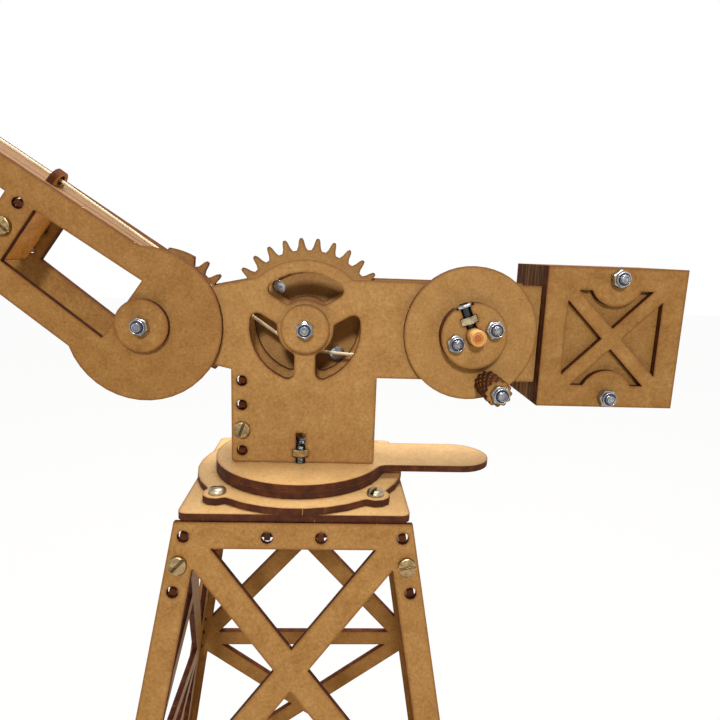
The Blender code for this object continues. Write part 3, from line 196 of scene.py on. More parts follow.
WHITE = (255, 255, 255)
BLACK = (0, 0, 0)
# A board's pale setting moves its face towards this colour; the flat boards use it for painted top
# light and sheen.
PALE_BOARD = (232, 212, 168)
BOARD_TONES = ((0.38, (146, 101, 49)), (0.48, (163, 117, 61)),
               (0.55, (171, 126, 69)), (0.66, (187, 144, 87)))
BOARD_FLECKS = ((0.70, WHITE), (0.76, (112, 72, 40)))
SCORCHED = (112, 62, 20)
BURNT_TONES = ((0.35, (60, 26, 8)), (0.52, (76, 35, 11)), (0.68, (94, 48, 17)))
TICK_SHARES = ((0.71, BLACK), (0.75, WHITE))
TICK = (190, 142, 86)
STACK_TONES = ((0.38, (62, 36, 16)), (0.5, (98, 66, 38)), (0.62, (142, 104, 66)))
# Painted reflection on metal: dark patches that stand in for dark surroundings mirrored in it.
DARK_REFLECTION_TONES = ((0.44, (92, 94, 100)), (0.55, WHITE))
# Painted shade on metal: its colour is darkened in slots, recesses and joints.
PAINTED_SHADE_TONES = ((0.45, (70, 64, 56)), (0.85, WHITE))
NYLON_TONES = ((0.3, (12, 22, 52)), (0.7, (30, 46, 92)))
HEART_TONES = ((0.50, (208, 150, 92)), (0.72, (255, 248, 236)))
STRING_TONES = ((0.36, (190, 166, 126)), (0.62, (238, 224, 192)))

# Grain of the finishes: noise turns a metre, detail and roughness
CLOUDS = (110.0, 3.0, 0.6)
FELT = (780.0, 6.0, 0.75)
FLECKS = (900.0, 2.0, 0.55)
EDGE_TICKS = (820.0, 2.0, 0.6)
EDGE_PATCHES = (210.0, 3.0, 0.55)
STACKED_SHEETS = (620.0, 3.0, 0.6)
HANDLING_MARKS = (700.0, 4.0, 0.7)
# Size of the painted dark reflection patches on metal
DARK_REFLECTION_PATCHES = (290.0, 2.0, 0.5)
NYLON_MOTTLE = (900.0, 2.0, 0.5)
WOOD_GRAIN = (900.0, 5.0, 0.65)
STRING_FUZZ = (2600.0, 4.0, 0.7)
STRING_SOIL = (120.0, 2.0, 0.5)

# How far the finishes reach, in metres, and how matt a board is
SCORCH_REACH = 0.0014
# How far into a hollow the painted shade on metal reaches
PAINTED_SHADE_REACH = 0.0016
BOARD_RELIEF = 0.0004
PLATE_RELIEF = 0.0002
FACE_ROUGHNESS = 0.52
EDGE_ROUGHNESS = 0.88

# How square to an axis a surface is where it counts as a board's face or a dowel's end
SQUARE_ON = 0.8


def linear(red, green, blue):
    """A display colour as the shader wants it."""
    def channel(value):
        share = value / 255.0
        return share / 12.92 if share <= 0.04045 else ((share + 0.055) / 1.055) ** 2.4
    return (channel(red), channel(green), channel(blue), 1.0)


class Nodes:
    """A material's node tree, with short calls to add and join nodes."""

    def __init__(self, name):
        self.material = bpy.data.materials.new(name)
        self.material.use_nodes = True
        self.tree = self.material.node_tree
        self.shader = self.tree.nodes["Principled BSDF"]

    def add(self, kind, **values):
        """A node, with its settings and the values of its sockets."""
        node = self.tree.nodes.new(kind)
        for key, value in values.items():
            if hasattr(node, key):
                setattr(node, key, value)
            else:
                node.inputs[key.replace("_", " ")].default_value = value
        return node

    def join(self, source, target):
        """Link an output to an input."""
        self.tree.links.new(source, target)

    def feed(self, socket, value):
        """Give an input a number, a fixed vector or colour, or another node's output."""
        if isinstance(value, bpy.types.NodeSocket):
            self.join(value, socket)
        else:
            socket.default_value = value

    def colour(self, source):
        """Let a source colour the surface."""
        self.join(source, self.shader.inputs["Base Color"])

    def maths(self, operation, first, second=None, clamp=False):
        """One sum on numbers."""
        node = self.add("ShaderNodeMath", operation=operation, use_clamp=clamp)
        self.feed(node.inputs[0], first)
        if second is not None:
            self.feed(node.inputs[1], second)
        return node.outputs[0]

    def mixed(self, first, share, second):
        """A share of one number, and the rest of another."""
        rest = self.maths("MULTIPLY", second, 1.0 - share)
        return self.maths("ADD", self.maths("MULTIPLY", first, share), rest)

    def vectors(self, operation, first, second):
        """One sum on vectors, where second may be the number to scale by."""
        node = self.add("ShaderNodeVectorMath", operation=operation)
        self.feed(node.inputs[0], first)
        self.feed(node.inputs["Scale" if operation == "SCALE" else 1], second)
        return node.outputs["Value" if operation == "DOT_PRODUCT" else "Vector"]

    def stretched(self, source, scale):
        """A place scaled differently along each axis."""
        node = self.add("ShaderNodeMapping", Scale=scale)
        self.join(source, node.inputs["Vector"])
        return node.outputs[0]

    def ramp(self, source, stops):
        """A colour read from stops, each one a place and a display colour."""
        node = self.add("ShaderNodeValToRGB")
        elements = node.color_ramp.elements
        while len(elements) < len(stops):
            elements.new(0.5)
        for element, (place, colour) in zip(elements, stops):
            element.position = place
            element.color = linear(*colour)
        self.join(source, node.inputs["Fac"])
        return node.outputs["Color"]

    def blend(self, share, first, second, mode="MIX"):
        """A share of a second colour over a first."""
        node = self.add("ShaderNodeMix", data_type="RGBA", blend_type=mode)
        self.feed(node.inputs[0], share)
        self.feed(node.inputs[6], first)
        self.feed(node.inputs[7], second)
        return node.outputs[2]

    def noise(self, where, grain):
        """Noise of a grain."""
        scale, detail, rough = grain
        node = self.add("ShaderNodeTexNoise", Scale=scale, Detail=detail, Roughness=rough)
        self.join(where, node.inputs["Vector"])
        return node.outputs["Fac"]

    def wave(self, where, spacing, **values):
        """Bands or rings at an even spacing, in metres."""
        node = self.add("ShaderNodeTexWave", Scale=math.tau / 20 / spacing, **values)
        self.join(where, node.inputs["Vector"])
        return node.outputs["Fac"]

    def shelter(self, reach, inside=False):
        """How open a surface is to its surroundings, or how thick the piece is behind it."""
        node = self.add("ShaderNodeAmbientOcclusion", samples=6, inside=inside, only_local=True,
                        Distance=reach)
        return node.outputs["AO"]

    def bump(self, height, strength, distance):
        """Let a height roughen the surface."""
        node = self.add("ShaderNodeBump", Strength=strength, Distance=distance)
        self.join(height, node.inputs["Height"])
        self.join(node.outputs["Normal"], self.shader.inputs["Normal"])


def board_face(n, where, felt, warmth, pale):
    """The colour of a board's face: mottled, flecked with dark fibres, and browned beside cuts."""
    def shade(colour):
        return tuple(warmth * part + pale * (light - part)
                     for part, light in zip(colour, PALE_BOARD))

    mottle = n.mixed(n.noise(where, CLOUDS), 0.34, felt)
    face = n.ramp(mottle, [(place, shade(colour)) for place, colour in BOARD_TONES])
    fleck = n.noise(n.stretched(where, (0.35, 0.35, 1.5)), FLECKS)
    face = n.blend(0.6, face, n.ramp(fleck, BOARD_FLECKS), "MULTIPLY")
    inward = n.shelter(SCORCH_REACH, inside=True)
    scorch = n.maths("MULTIPLY", n.maths("SUBTRACT", 0.96, inward), 1.5, clamp=True)
    return n.blend(scorch, face, linear(*SCORCHED))


def board(name, facing, warmth=1.0, pale=0.02, gloss=0.2, stacked=False):
    """Fibreboard cut by laser: felted faces square to facing, and burnt edges.

    warmth scales the face's colour and pale moves it towards pale board. The edges have pale ticks
    that run through the sheet, or stacked sheets' stripes that run along it.
    """
    n = Nodes(name)
    place = n.add("ShaderNodeTexCoord")
    where = place.outputs["Object"]
    squareness = n.maths("ABSOLUTE", n.vectors("DOT_PRODUCT", place.outputs["Normal"], facing))
    on_face = n.maths("GREATER_THAN", squareness, SQUARE_ON)
    felt = n.noise(where, FELT)
    depth = n.maths("MULTIPLY", n.vectors("DOT_PRODUCT", where, facing), 0.95)
    through = n.vectors("SCALE", facing, depth)
    ticks = n.noise(n.vectors("SUBTRACT", where, through), EDGE_TICKS)
    if stacked:
        along_sheets = n.vectors("ADD", n.vectors("SCALE", where, 0.04), through)
        edge = n.ramp(n.noise(along_sheets, STACKED_SHEETS), STACK_TONES)
    else:
        burnt = n.ramp(n.noise(where, EDGE_PATCHES), BURNT_TONES)
        edge = n.blend(n.ramp(ticks, TICK_SHARES), burnt, linear(*TICK))
    n.colour(n.blend(on_face, edge, board_face(n, where, felt, warmth, pale)))
    smoother = n.maths("MULTIPLY", on_face, EDGE_ROUGHNESS - FACE_ROUGHNESS)
    n.join(n.maths("SUBTRACT", EDGE_ROUGHNESS, smoother), n.shader.inputs["Roughness"])
    n.shader.inputs["Specular IOR Level"].default_value = gloss
    n.bump(n.maths("ADD", felt, n.maths("MULTIPLY", ticks, 0.6)), 0.14, BOARD_RELIEF)
    return n.material


def metal(name, colour, roughness, thread=None, plated=1.0):
    """Plated steel, marked by handling, with painted dark reflection in patches and painted shade in
    its hollows, and threaded or not.
    """
    n = Nodes(name)
    where = n.add("ShaderNodeTexCoord").outputs["Object"]
    marks = n.noise(where, HANDLING_MARKS)
    plate = n.ramp(marks, [(0.35, tuple(0.80 * part for part in colour)), (0.6, colour)])
    # Painted reflection: darker patches of the colour stand in for dark surroundings mirrored in the
    # metal.
    plate = n.blend(0.4, plate, n.ramp(n.noise(where, DARK_REFLECTION_PATCHES), DARK_REFLECTION_TONES), "MULTIPLY")
    # Painted shade: the colour is darkened where the surface is hemmed in, in slots, recesses and
    # joints.
    n.colour(n.blend(0.9, plate, n.ramp(n.shelter(PAINTED_SHADE_REACH), PAINTED_SHADE_TONES), "MULTIPLY"))
    n.shader.inputs["Metallic"].default_value = plated
    n.shader.inputs["Roughness"].default_value = roughness
    if thread:
        n.bump(n.wave(where, THREAD_PITCH, bands_direction=thread), 0.9, THREAD_DEPTH)
    else:
        n.bump(marks, 0.10, PLATE_RELIEF)
    return n.material


def nylon():
    """The dark blue insert of a locknut."""
    n = Nodes("nylon insert")
    where = n.add("ShaderNodeTexCoord").outputs["Object"]
    n.colour(n.ramp(n.noise(where, NYLON_MOTTLE), NYLON_TONES))
    n.shader.inputs["Roughness"].default_value = 0.4
    return n.material


def dowel_wood(heart, light, dark):
    """Turned wood: grain along Y, growth rings about a heart, and ends that are browner there."""
    n = Nodes("dowel wood")
    place = n.add("ShaderNodeTexCoord")
    centred = n.vectors("SUBTRACT", place.outputs["Object"], heart)
    drawn_out = n.stretched(centred, (1.0, 0.08, 1.0))
    grain = n.noise(drawn_out, WOOD_GRAIN)
    rings = n.wave(drawn_out, RING_SPACING, wave_type="RINGS", rings_direction="Y",
                   Distortion=1.5, Detail=2.0)
    side = n.ramp(n.mixed(grain, 0.6, rings), ((0.2, dark), (0.75, light)))
    squareness = n.maths("ABSOLUTE", n.vectors("DOT_PRODUCT", place.outputs["Normal"], SIDEWAYS))
    from_heart = n.add("ShaderNodeVectorMath", operation="LENGTH")
    n.join(n.stretched(centred, (1.0, 0.0, 1.0)), from_heart.inputs[0])
    ragged = n.maths("ADD", from_heart.outputs["Value"], n.maths("MULTIPLY", grain, 0.0036))
    core = n.ramp(n.maths("MULTIPLY", ragged, 160.0), HEART_TONES)
    n.colour(n.blend(n.maths("GREATER_THAN", squareness, SQUARE_ON), side, core, "MULTIPLY"))
    n.shader.inputs["Roughness"].default_value = 0.55
    n.bump(grain, 0.25, 0.0003)
    return n.material


def twine():
    """Pale cotton string: fuzz and soil over the strands, which are modelled."""
    n = Nodes("cotton string")
    where = n.add("ShaderNodeTexCoord").outputs["Object"]
    fuzz = n.noise(where, STRING_FUZZ)
    n.colour(n.ramp(n.mixed(fuzz, 0.65, n.noise(where, STRING_SOIL)), STRING_TONES))
    n.shader.inputs["Roughness"].default_value = 0.92
    n.shader.inputs["Sheen Weight"].default_value = 0.25
    n.bump(fuzz, 0.5, 0.0002)
    return n.material


def tilted(degrees):
    """A direction in the X-Z plane, turned from +X towards -Z as the jib's own axis is."""
    return tuple(polar(1.0, -degrees))


# The finishes of this crane, one for each way that its boards face
UPRIGHT = board("board, body", SIDEWAYS, warmth=0.97, pale=0.07)
JIB_SIDE = board("board, jib plates", SIDEWAYS, warmth=0.91, pale=-0.03)
WEIGHT_FACE = board("board, weight", SIDEWAYS, warmth=0.91, pale=-0.01)
WEIGHT_STACK = board("board, weight stack", SIDEWAYS, stacked=True)
KNOB_BOARD = board("board, knob", SIDEWAYS, warmth=0.95)
# Painted light: a paler, brighter copy of the board for boards that lie flat, standing in for top
# light and sheen on their faces.
FLAT = board("board, flat, painted top light", UP, warmth=1.06, pale=0.30, gloss=0.35)
ACROSS = board("board, across the body", (1.0, 0.0, 0.0))
# Painted light: a much brighter copy of the board for the cross plates inside the jib, standing in
# for light bounced onto them.
JIB_ACROSS = board("board, across the jib, painted light", tilted(LUFF), warmth=1.38, pale=-0.12)
# Painted shade: a darker copy of the board for the top strip, standing in for the shade it lies in
# between the jib's side plates.
JIB_TOP = board("board, along the jib, painted shade", tilted(LUFF - JIB_TAPER - 90.0), warmth=0.78, pale=-0.10)
PANEL_FACING = {
    "front": (0.0, -math.cos(LEAN), math.sin(LEAN)),
    "back": (0.0, math.cos(LEAN), math.sin(LEAN)),
    "right": (math.cos(LEAN), 0.0, math.sin(LEAN)),
    "left": (-math.cos(LEAN), 0.0, math.sin(LEAN)),
}
PANEL = {side: board("board, %s panel" % side, facing, warmth=0.96)
         for side, facing in PANEL_FACING.items()}
ZINC = metal("zinc plate", (190, 192, 195), roughness=0.19)
THREAD = {axis: metal("zinc thread along " + axis, (176, 178, 180), roughness=0.28, thread=axis)
          for axis in "XYZ"}
DARK_STEEL = metal("blackened steel", (24, 24, 28), roughness=0.2, plated=0.0)
# Painted reflection: the warm tint of the set and foot nuts stands in for the golden board mirrored
# in them.
WARM_ZINC = metal("zinc plate, warm from painted board reflection", (208, 190, 148), roughness=0.26)
MATT_ZINC = metal("zinc plate, matt", (202, 186, 156), roughness=0.4)
BROWNED_ZINC = metal("zinc plate, browned", (186, 156, 110), roughness=0.28)
NYLON = nylon()
HEART = middle("winch_dowel") + Vector((-0.0004, 0.0, 0.0002))
DOWEL = dowel_wood(HEART, light=(218, 168, 98), dark=(190, 136, 70))
STRING = twine()


def dress_boards():
    """Give every board node its finish."""
    boards = [
        (UPRIGHT, ("body_plate_front", "body_plate_back", "hub_disc_front", "hub_disc_back",
                   "drive_gear", "crank_disc", "crank_hub_inner", "crank_hub_outer",
                   "winch_collar", "hook")),
        (JIB_SIDE, ("jib_plate_front", "jib_plate_back", "jib_sector_plate",
                    "pivot_disc_front", "pivot_disc_back")),
        (WEIGHT_FACE, ("weight_cover_front", "weight_cover_back",
                       "weight_face_front", "weight_face_back")),
        (WEIGHT_STACK, ("weight_core",)),
        (FLAT, ("base_plate", "tower_head_plate", "tower_top_plate",
                "turntable_ring", "turntable_lower_disc", "turntable_plate")),
        (ACROSS, ("body_cross_plate",)),
        (JIB_ACROSS, ("jib_cross_plate_1", "jib_cross_plate_2", "jib_cross_plate_3")),
        (JIB_TOP, ("jib_top_strip",)),
    ]
    boards += [(PANEL[side], ("tower_panel_" + side,)) for side in PANEL]
    for material, names in boards:
        for name in names:
            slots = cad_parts[name].data.materials
            slots.clear()
            slots.append(material)


# Modelling, as by hand

def deselect():
    """Leave nothing selected."""
    if bpy.context.mode != "OBJECT":
        bpy.ops.object.mode_set(mode="OBJECT")
    bpy.ops.object.select_all(action="DESELECT")


def pick(piece):
    """Leave only one piece selected, and make it the active one."""
    deselect()
    bpy.context.view_layer.objects.active = piece
    piece.select_set(True)


def begin(name, primitive, material, **where):
    """Add a primitive at its size and place."""
    deselect()
    getattr(bpy.ops.mesh, "primitive_%s_add" % primitive)(**where)
    piece = bpy.context.object
    piece.name = name
    piece.data.name = name
    piece.data.materials.append(material)
    return piece


def edit(piece, wanted, kind="FACE"):
    """Open a piece in edit mode with only the wanted faces or edges selected."""
    pick(piece)
    bpy.ops.object.mode_set(mode="EDIT")
    bpy.ops.mesh.select_mode(type=kind)
    bpy.ops.mesh.select_all(action="DESELECT")
    mesh = bmesh.from_edit_mesh(piece.data)
    for part in mesh.faces if kind == "FACE" else mesh.edges:
        if wanted(part):
            part.select_set(True)
    mesh.select_flush_mode()
    bmesh.update_edit_mesh(piece.data)


def edit_done():
    """Leave edit mode."""
    bpy.ops.object.mode_set(mode="OBJECT")


def facing_up(face):
    """Whether a face looks along +Z."""
    return face.normal.z > 0.9


def rim_edges(*heights):
    """A test for the edges that lie all round at one of the heights."""
    def lies(edge):
        return any(all(abs(v.co.z - height) < NEAR for v in edge.verts) for height in heights)
    return lies


def smooth(piece, degrees):
    """Shade a piece smooth between its sharp edges."""
    pick(piece)
    bpy.ops.object.shade_smooth_by_angle(angle=math.radians(degrees))


def join(name, pieces):
    """Join pieces into one."""
    deselect()
    for piece in pieces:
        piece.select_set(True)
    bpy.context.view_layer.objects.active = pieces[0]
    bpy.ops.object.join()
    pieces[0].name = name
    return pieces[0]


def settle(piece):
    """Put a piece's place into its mesh."""
    pick(piece)
    bpy.ops.object.transform_apply(location=True, rotation=True, scale=True)
    return piece


def stand(piece, seat, way, turn=0.0):
    """Stand a piece that was made on the origin on its seat, pointing the given way."""
    aim = Vector(UP).rotation_difference(Vector(way))
    piece.rotation_mode = "QUATERNION"
    piece.rotation_quaternion = aim @ Matrix.Rotation(math.radians(turn), 3, "Z").to_quaternion()
    piece.location = seat
    return settle(piece)


def put(pattern, name, seat, way, turn=0.0):
    """A copy of a pattern, stood on its seat."""
    piece = pattern.copy()
    piece.data = pattern.data.copy()
    piece.name = name
    bpy.context.collection.objects.link(piece)
    return stand(piece, seat, way, turn)


def cylinder(name, material, sides, radius, low, high):
    """A cylinder about Z between two heights, to be shaped further."""
    return settle(begin(name, "cylinder", material, vertices=sides, radius=radius, depth=high - low,
                        location=(0.0, 0.0, (high + low) / 2)))


def ease(piece, wanted, width, steps):
    """Bevel the wanted edges of a piece."""
    edit(piece, wanted, "EDGE")
    bpy.ops.mesh.bevel(offset=width, segments=steps, affect="EDGES")
    edit_done()


def sink(piece, border, depth):
    """Lower the top of a piece inside a border."""
    edit(piece, facing_up)
    bpy.ops.mesh.inset(thickness=border)
    bpy.ops.mesh.extrude_region_move(TRANSFORM_OT_translate={"value": (0.0, 0.0, -depth)})
    edit_done()


def cut_slot(head, height, size, degrees=0.0):
    """Cut a straight slot, centred at a height, out of a screw's head."""
    cutter = settle(begin("slot", "cube", head.data.materials[0], size=1.0, scale=size,
                          location=(0.0, 0.0, height), rotation=(0.0, 0.0, math.radians(degrees))))
    cut = head.modifiers.new("slot", "BOOLEAN")
    cut.solver = "EXACT"
    cut.object = cutter
    bpy.context.view_layer.objects.active = head
    bpy.ops.object.modifier_apply(modifier=cut.name)
    bpy.data.objects.remove(cutter, do_unlink=True)


# Bolts, nuts and screws

def locknut_pattern():
    """A locknut on the origin: chamfered hexagon, and a round collar that holds its nylon insert."""
    hexagon = cylinder("hexagon", ZINC, HEX_SIDES, NUT_CORNER, 0.0, NUT_HEX)
    ease(hexagon, rim_edges(0.0, NUT_HEX), NUT_CHAMFER, 2)
    collar = cylinder("collar", ZINC, ROUND_SIDES, COLLAR_R, NUT_HEX, NUT_TALL)
    sink(collar, COLLAR_R * 0.16, 0.0004)
    ease(collar, rim_edges(NUT_TALL), COLLAR_ROUND, 3)
    insert = cylinder("insert", NYLON, ROUND_SIDES, INSERT_R, INSERT_LOW, INSERT_HIGH)
    sink(insert, INSERT_R - BOLT_R * 1.04, 0.0002)
    smooth(hexagon, 25.0)
    smooth(collar, 35.0)
    smooth(insert, 35.0)
    return join("locknut pattern", [hexagon, collar, insert])


def head_pattern(name, material, easing, tall=HEAD_TALL):
    """An uncut screw head on the origin, its seat down and its rim rounded."""
    head = cylinder(name, material, HEAD_SIDES, HEAD_R, 0.0, tall)
    ease(head, rim_edges(tall), easing, 6)
    return head


def slotted_pattern(name, material, easing, slot_width, slot_depth):
    """A slotted head on the origin."""
    head = head_pattern(name, material, easing)
    cut_slot(head, HEAD_TALL, (HEAD_R * 3, slot_width, slot_depth * 2))
    smooth(head, 30.0)
    return head


def cross_pattern(name, tall, easing):
    """A cross-recessed head on the origin."""
    head = head_pattern(name, ZINC, easing, tall)
    for degrees in (0.0, 90.0):
        cut_slot(head, tall, (CROSS_LENGTH, CROSS_WIDTH, tall * 1.1), degrees)
    smooth(head, 30.0)
    return head


def shank(name, start, end, material):
    """A shank between two points, its end chamfered and cupped."""
    start, end = Vector(start), Vector(end)
    length = (end - start).length
    rod = cylinder(name, material, ROUND_SIDES, BOLT_R, 0.0, length)
    ease(rod, rim_edges(length), SHANK_CHAMFER, 3)
    sink(rod, BOLT_R * 0.22, SHANK_CUP)
    smooth(rod, 40.0)
    return stand(rod, start, end - start)


PATTERNS = {}


def dress_bolt(node, body, axis, nut_low, head, turn):
    """Replace a model bolt by one with a real nut, head and thread."""
    index = "XYZ".index(axis)
    low, high = low_high(node, index)
    way = Vector((0.0, 0.0, 0.0))
    way[index] = -1.0 if nut_low else 1.0
    tip = middle(node)
    tip[index] = low if nut_low else high
    top = middle(node)
    top[index] = high if nut_low else low
    nut = put(PATTERNS["nut"], node + "_nut", tip - way * (NUT_TALL + BOLT_PROUD), way, turn)
    if head == "flat":
        start = top + way * SEAT
        tall = HEAD_R - BOLT_R
        cap = settle(begin(node + "_cap", "cone", ZINC, vertices=ROUND_SIDES, radius1=HEAD_R,
                           radius2=BOLT_R, depth=tall, location=(0.0, 0.0, tall / 2)))
        stand(cap, top, way)
    else:
        start = top + way * HEAD_TALL * 0.6
        cap = put(PATTERNS[head], node + "_cap", top + way * HEAD_TALL, -way, turn * 3)
    rod = shank(node + "_rod", start, tip, THREAD[axis])
    bolt = join(node + "_dressed", [nut, cap, rod])
    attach(bolt, body)
    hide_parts(node)


def dress_hardware():
    """All bolts, nuts and screws. A row: node, body, axis, whether the nut is low, head, turn."""
    PATTERNS["nut"] = locknut_pattern()
    PATTERNS["slotted"] = slotted_pattern("cheese pattern", BROWNED_ZINC, easing=0.0006,
                                          slot_width=0.0013, slot_depth=0.0012)
    PATTERNS["domed"] = slotted_pattern("domed pattern", MATT_ZINC, easing=0.0020,
                                        slot_width=0.0015, slot_depth=0.0017)
    PATTERNS["pan"] = cross_pattern("pan pattern", HEAD_TALL, easing=0.0013)
    PATTERNS["thin"] = cross_pattern("thin pattern", THIN_HEAD, easing=0.0003)
    rows = [
        ("centre_bolt", "turntable", "Y", True, "pan", 4.0),
        ("jib_pivot_bolt", "jib", "Y", True, "pan", 12.0),
        ("tip_axle", "jib", "Y", True, "pan", 25.0),
        ("weight_bolt_upper", "turntable", "Y", True, "pan", 8.0),
        ("weight_bolt_lower", "turntable", "Y", True, "pan", 27.0),
        ("crank_screw_left", "crank", "Y", True, "flat", 16.0),
        ("crank_screw_right", "crank", "Y", True, "flat", 38.0),
        ("knob_bolt", "crank", "Y", True, "flat", 22.0),
        ("slew_bolt", "turntable", "Z", False, "pan", 0.0),
    ]
    rows += [("ring_screw_%d" % i, "tower", "Z", True, "domed", 20.0 * i) for i in (1, 2, 3, 4)]
    for row in rows:
        dress_bolt(*row)
    dress_foot_bolts()
    dress_set_bolt()
    dress_leg_screws()
    dress_edge_screws()
    dress_post_screws()
    dress_back_screws()
    for pattern in PATTERNS.values():
        bpy.data.objects.remove(pattern, do_unlink=True)


def dress_foot_bolts():
    """The bolts that come up through the turntable into slots of the body plates."""
    half = NUT_HEX * 0.48
    nut_z = body_foot() + FOOT_NUT_BOTTOM + NUT_HEX / 2 + SEAT
    for side in ("front", "back"):
        node = "foot_bolt_" + side
        centre = middle(node)
        low, high = low_high(node, 2)
        start = (centre.x, centre.y, low + HEAD_TALL * 0.6)
        rod = shank(node + "_rod", start, (centre.x, centre.y, high), THREAD["Z"])
        cap_seat = (centre.x, centre.y, low + HEAD_TALL)
        cap = put(PATTERNS["pan"], node + "_cap", cap_seat, (0.0, 0.0, -1.0))
        nut = cylinder(node + "_nut", WARM_ZINC, HEX_SIDES, NUT_CORNER, -half, half)
        ease(nut, rim_edges(-half, half), 0.0003, 2)
        smooth(nut, 25.0)
        nut.location = (centre.x, centre.y, nut_z)
        settle(nut)
        bolt = join(node + "_dressed", [rod, cap, nut])
        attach(bolt, "turntable")
        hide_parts(node)


def dress_set_bolt():
    """The screw that lies in the slot of the crank's hub, through a nut, and grips the dowel."""
    axle = middle("crank_disc")
    out = polar(1.0, CRANK_TURN + 90.0)
    centre = Vector((axle.x, low_high("crank_disc", 1)[0] - SEAT - NUT_CORNER, axle.z))
    head = cylinder("set_bolt_head", ZINC, HEAD_SIDES, SET_HEAD_R, SET_HEAD_LOW, SET_BOLT_TOP)
    ease(head, rim_edges(SET_BOLT_TOP), 0.0005, 4)
    sink(head, 0.0014, 0.0006)
    smooth(head, 35.0)
    nut = cylinder("set_bolt_nut", WARM_ZINC, HEX_SIDES, NUT_CORNER, SET_NUT_LOW, SET_NUT_HIGH)
    ease(nut, rim_edges(SET_NUT_LOW, SET_NUT_HIGH), 0.00025, 2)
    smooth(nut, 25.0)
    rod = shank("set_bolt_rod", (0.0, 0.0, SET_HEAD_LOW), (0.0, 0.0, DOWEL_R + SEAT), DARK_STEEL)
    bolt = stand(join("set_bolt_dressed", [head, nut, rod]), centre, out)
    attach(bolt, "crank")
    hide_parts("set_bolt")


def slotted_screw(name, seat, way, body, turn):
    """A slotted screw head on a face."""
    screw = put(PATTERNS["slotted"], name, seat, way, turn)
    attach(screw, body)


FACES = (("front", -1.0), ("back", 1.0))


def dress_leg_screws():
    """The slotted screws of the tower's legs, in three rows of each of two panels."""
    panel_top = low_high("tower_top_plate", 2)[0] - SEAT
    length = (TOWER_RISE - SHEET * math.sin(LEAN)) / math.cos(LEAN)
    taper = TOWER_BATTER * math.cos(LEAN)
    rows = (-HEAD_PLATE_DROP - LEG_HOLE_STEP,
            -LATTICE_BAR - BAY_SHARE * (length - 3 * LATTICE_BAR),
            -length + LEG_FOOT_ROW - LEG_HOLE_STEP)
    for face, sign in FACES:
        out = Vector((0.0, sign * math.cos(LEAN), math.sin(LEAN)))
        for row, drop in enumerate(rows):
            for side in (-1.0, 1.0):
                seat = Vector((side * (TOWER_TOP_HALF - taper * drop - LEG_HOLE_EDGE),
                               sign * (TOWER_TOP_HALF - drop * math.sin(LEAN)),
                               panel_top + drop * math.cos(LEAN)))
                name = "leg_screw_%s_%d_%s" % (face, row, "left" if side < 0 else "right")
                turn = 28.0 + 40.0 * row - 18.0 * side
                slotted_screw(name, seat + out * SCREW_LIFT, out, "tower", turn)


def dress_edge_screws():
    """The slotted screw at the left edge of each body plate."""
    x = AXLE_X - FOOT_HALF + EDGE_HOLE_INSET
    for face, sign in FACES:
        seat = (x, sign * (BODY_HALF + SCREW_LIFT), body_foot() + EDGE_SCREW_HEIGHT)
        slotted_screw("edge_screw_" + face, seat, (0.0, sign, 0.0), "turntable", 70.0)


def dress_post_screws():
    """The slotted screws at the posts of the jib's plates."""
    pivot = middle("pivot_disc_front")
    for i in range(3):
        reach = POSTS[0] + (POSTS[1] - POSTS[0]) * i / 2
        for face, sign in FACES:
            seat = Vector((pivot.x, sign * (JIB_OUTER + SCREW_LIFT), pivot.z))
            seat += polar(reach, 180.0 - LUFF)
            name = "post_screw_%s_%d" % (face, i + 1)
            slotted_screw(name, seat, (0.0, sign, 0.0), "jib", -40.0 + 50.0 * i)


def dress_back_screws():
    """The two screws that hold the large disc to the body's back plate, their heads flush inside."""
    axle = middle("hub_disc_back")
    inner = low_high("body_plate_back", 1)[0]
    outer = low_high("hub_disc_back", 1)[1]
    for i in (1, 2):
        place = polar(BACK_SCREW_R, BACK_SCREW_ANGLE + 180.0 * (i - 1), (axle.x, axle.z))
        seat = Vector((place.x, inner - SEAT * 0.3, place.z))
        end = Vector((place.x, outer + SEAT + NUT_TALL + BOLT_PROUD, place.z))
        head = put(PATTERNS["thin"], "back_head_%d" % i, seat, (0.0, -1.0, 0.0), 20.0)
        nut_seat = (place.x, outer + SEAT, place.z)
        nut = put(PATTERNS["nut"], "back_nut_%d" % i, nut_seat, (0.0, 1.0, 0.0), 18.0)
        rod = shank("back_rod_%d" % i, seat, end, THREAD["Y"])
        screw = join("back_screw_%d" % i, [head, nut, rod])
        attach(screw, "turntable")


# Dowel, knob and wheels

def dress_dowel():
    """The dowel of the winch, with its ends eased."""
    low, high = low_high("winch_dowel", 1)
    half = (high - low) / 2
    rod = cylinder("dowel", DOWEL, DOWEL_SIDES, DOWEL_R, -half, half)
    ease(rod, rim_edges(-half, half), DOWEL_ROUND, 4)
    smooth(rod, 35.0)
    rod.rotation_euler = (math.radians(90.0), 0.0, 0.0)
    rod.location = middle("winch_dowel")
    settle(rod)
    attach(rod, "crank")
    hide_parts("winch_dowel")


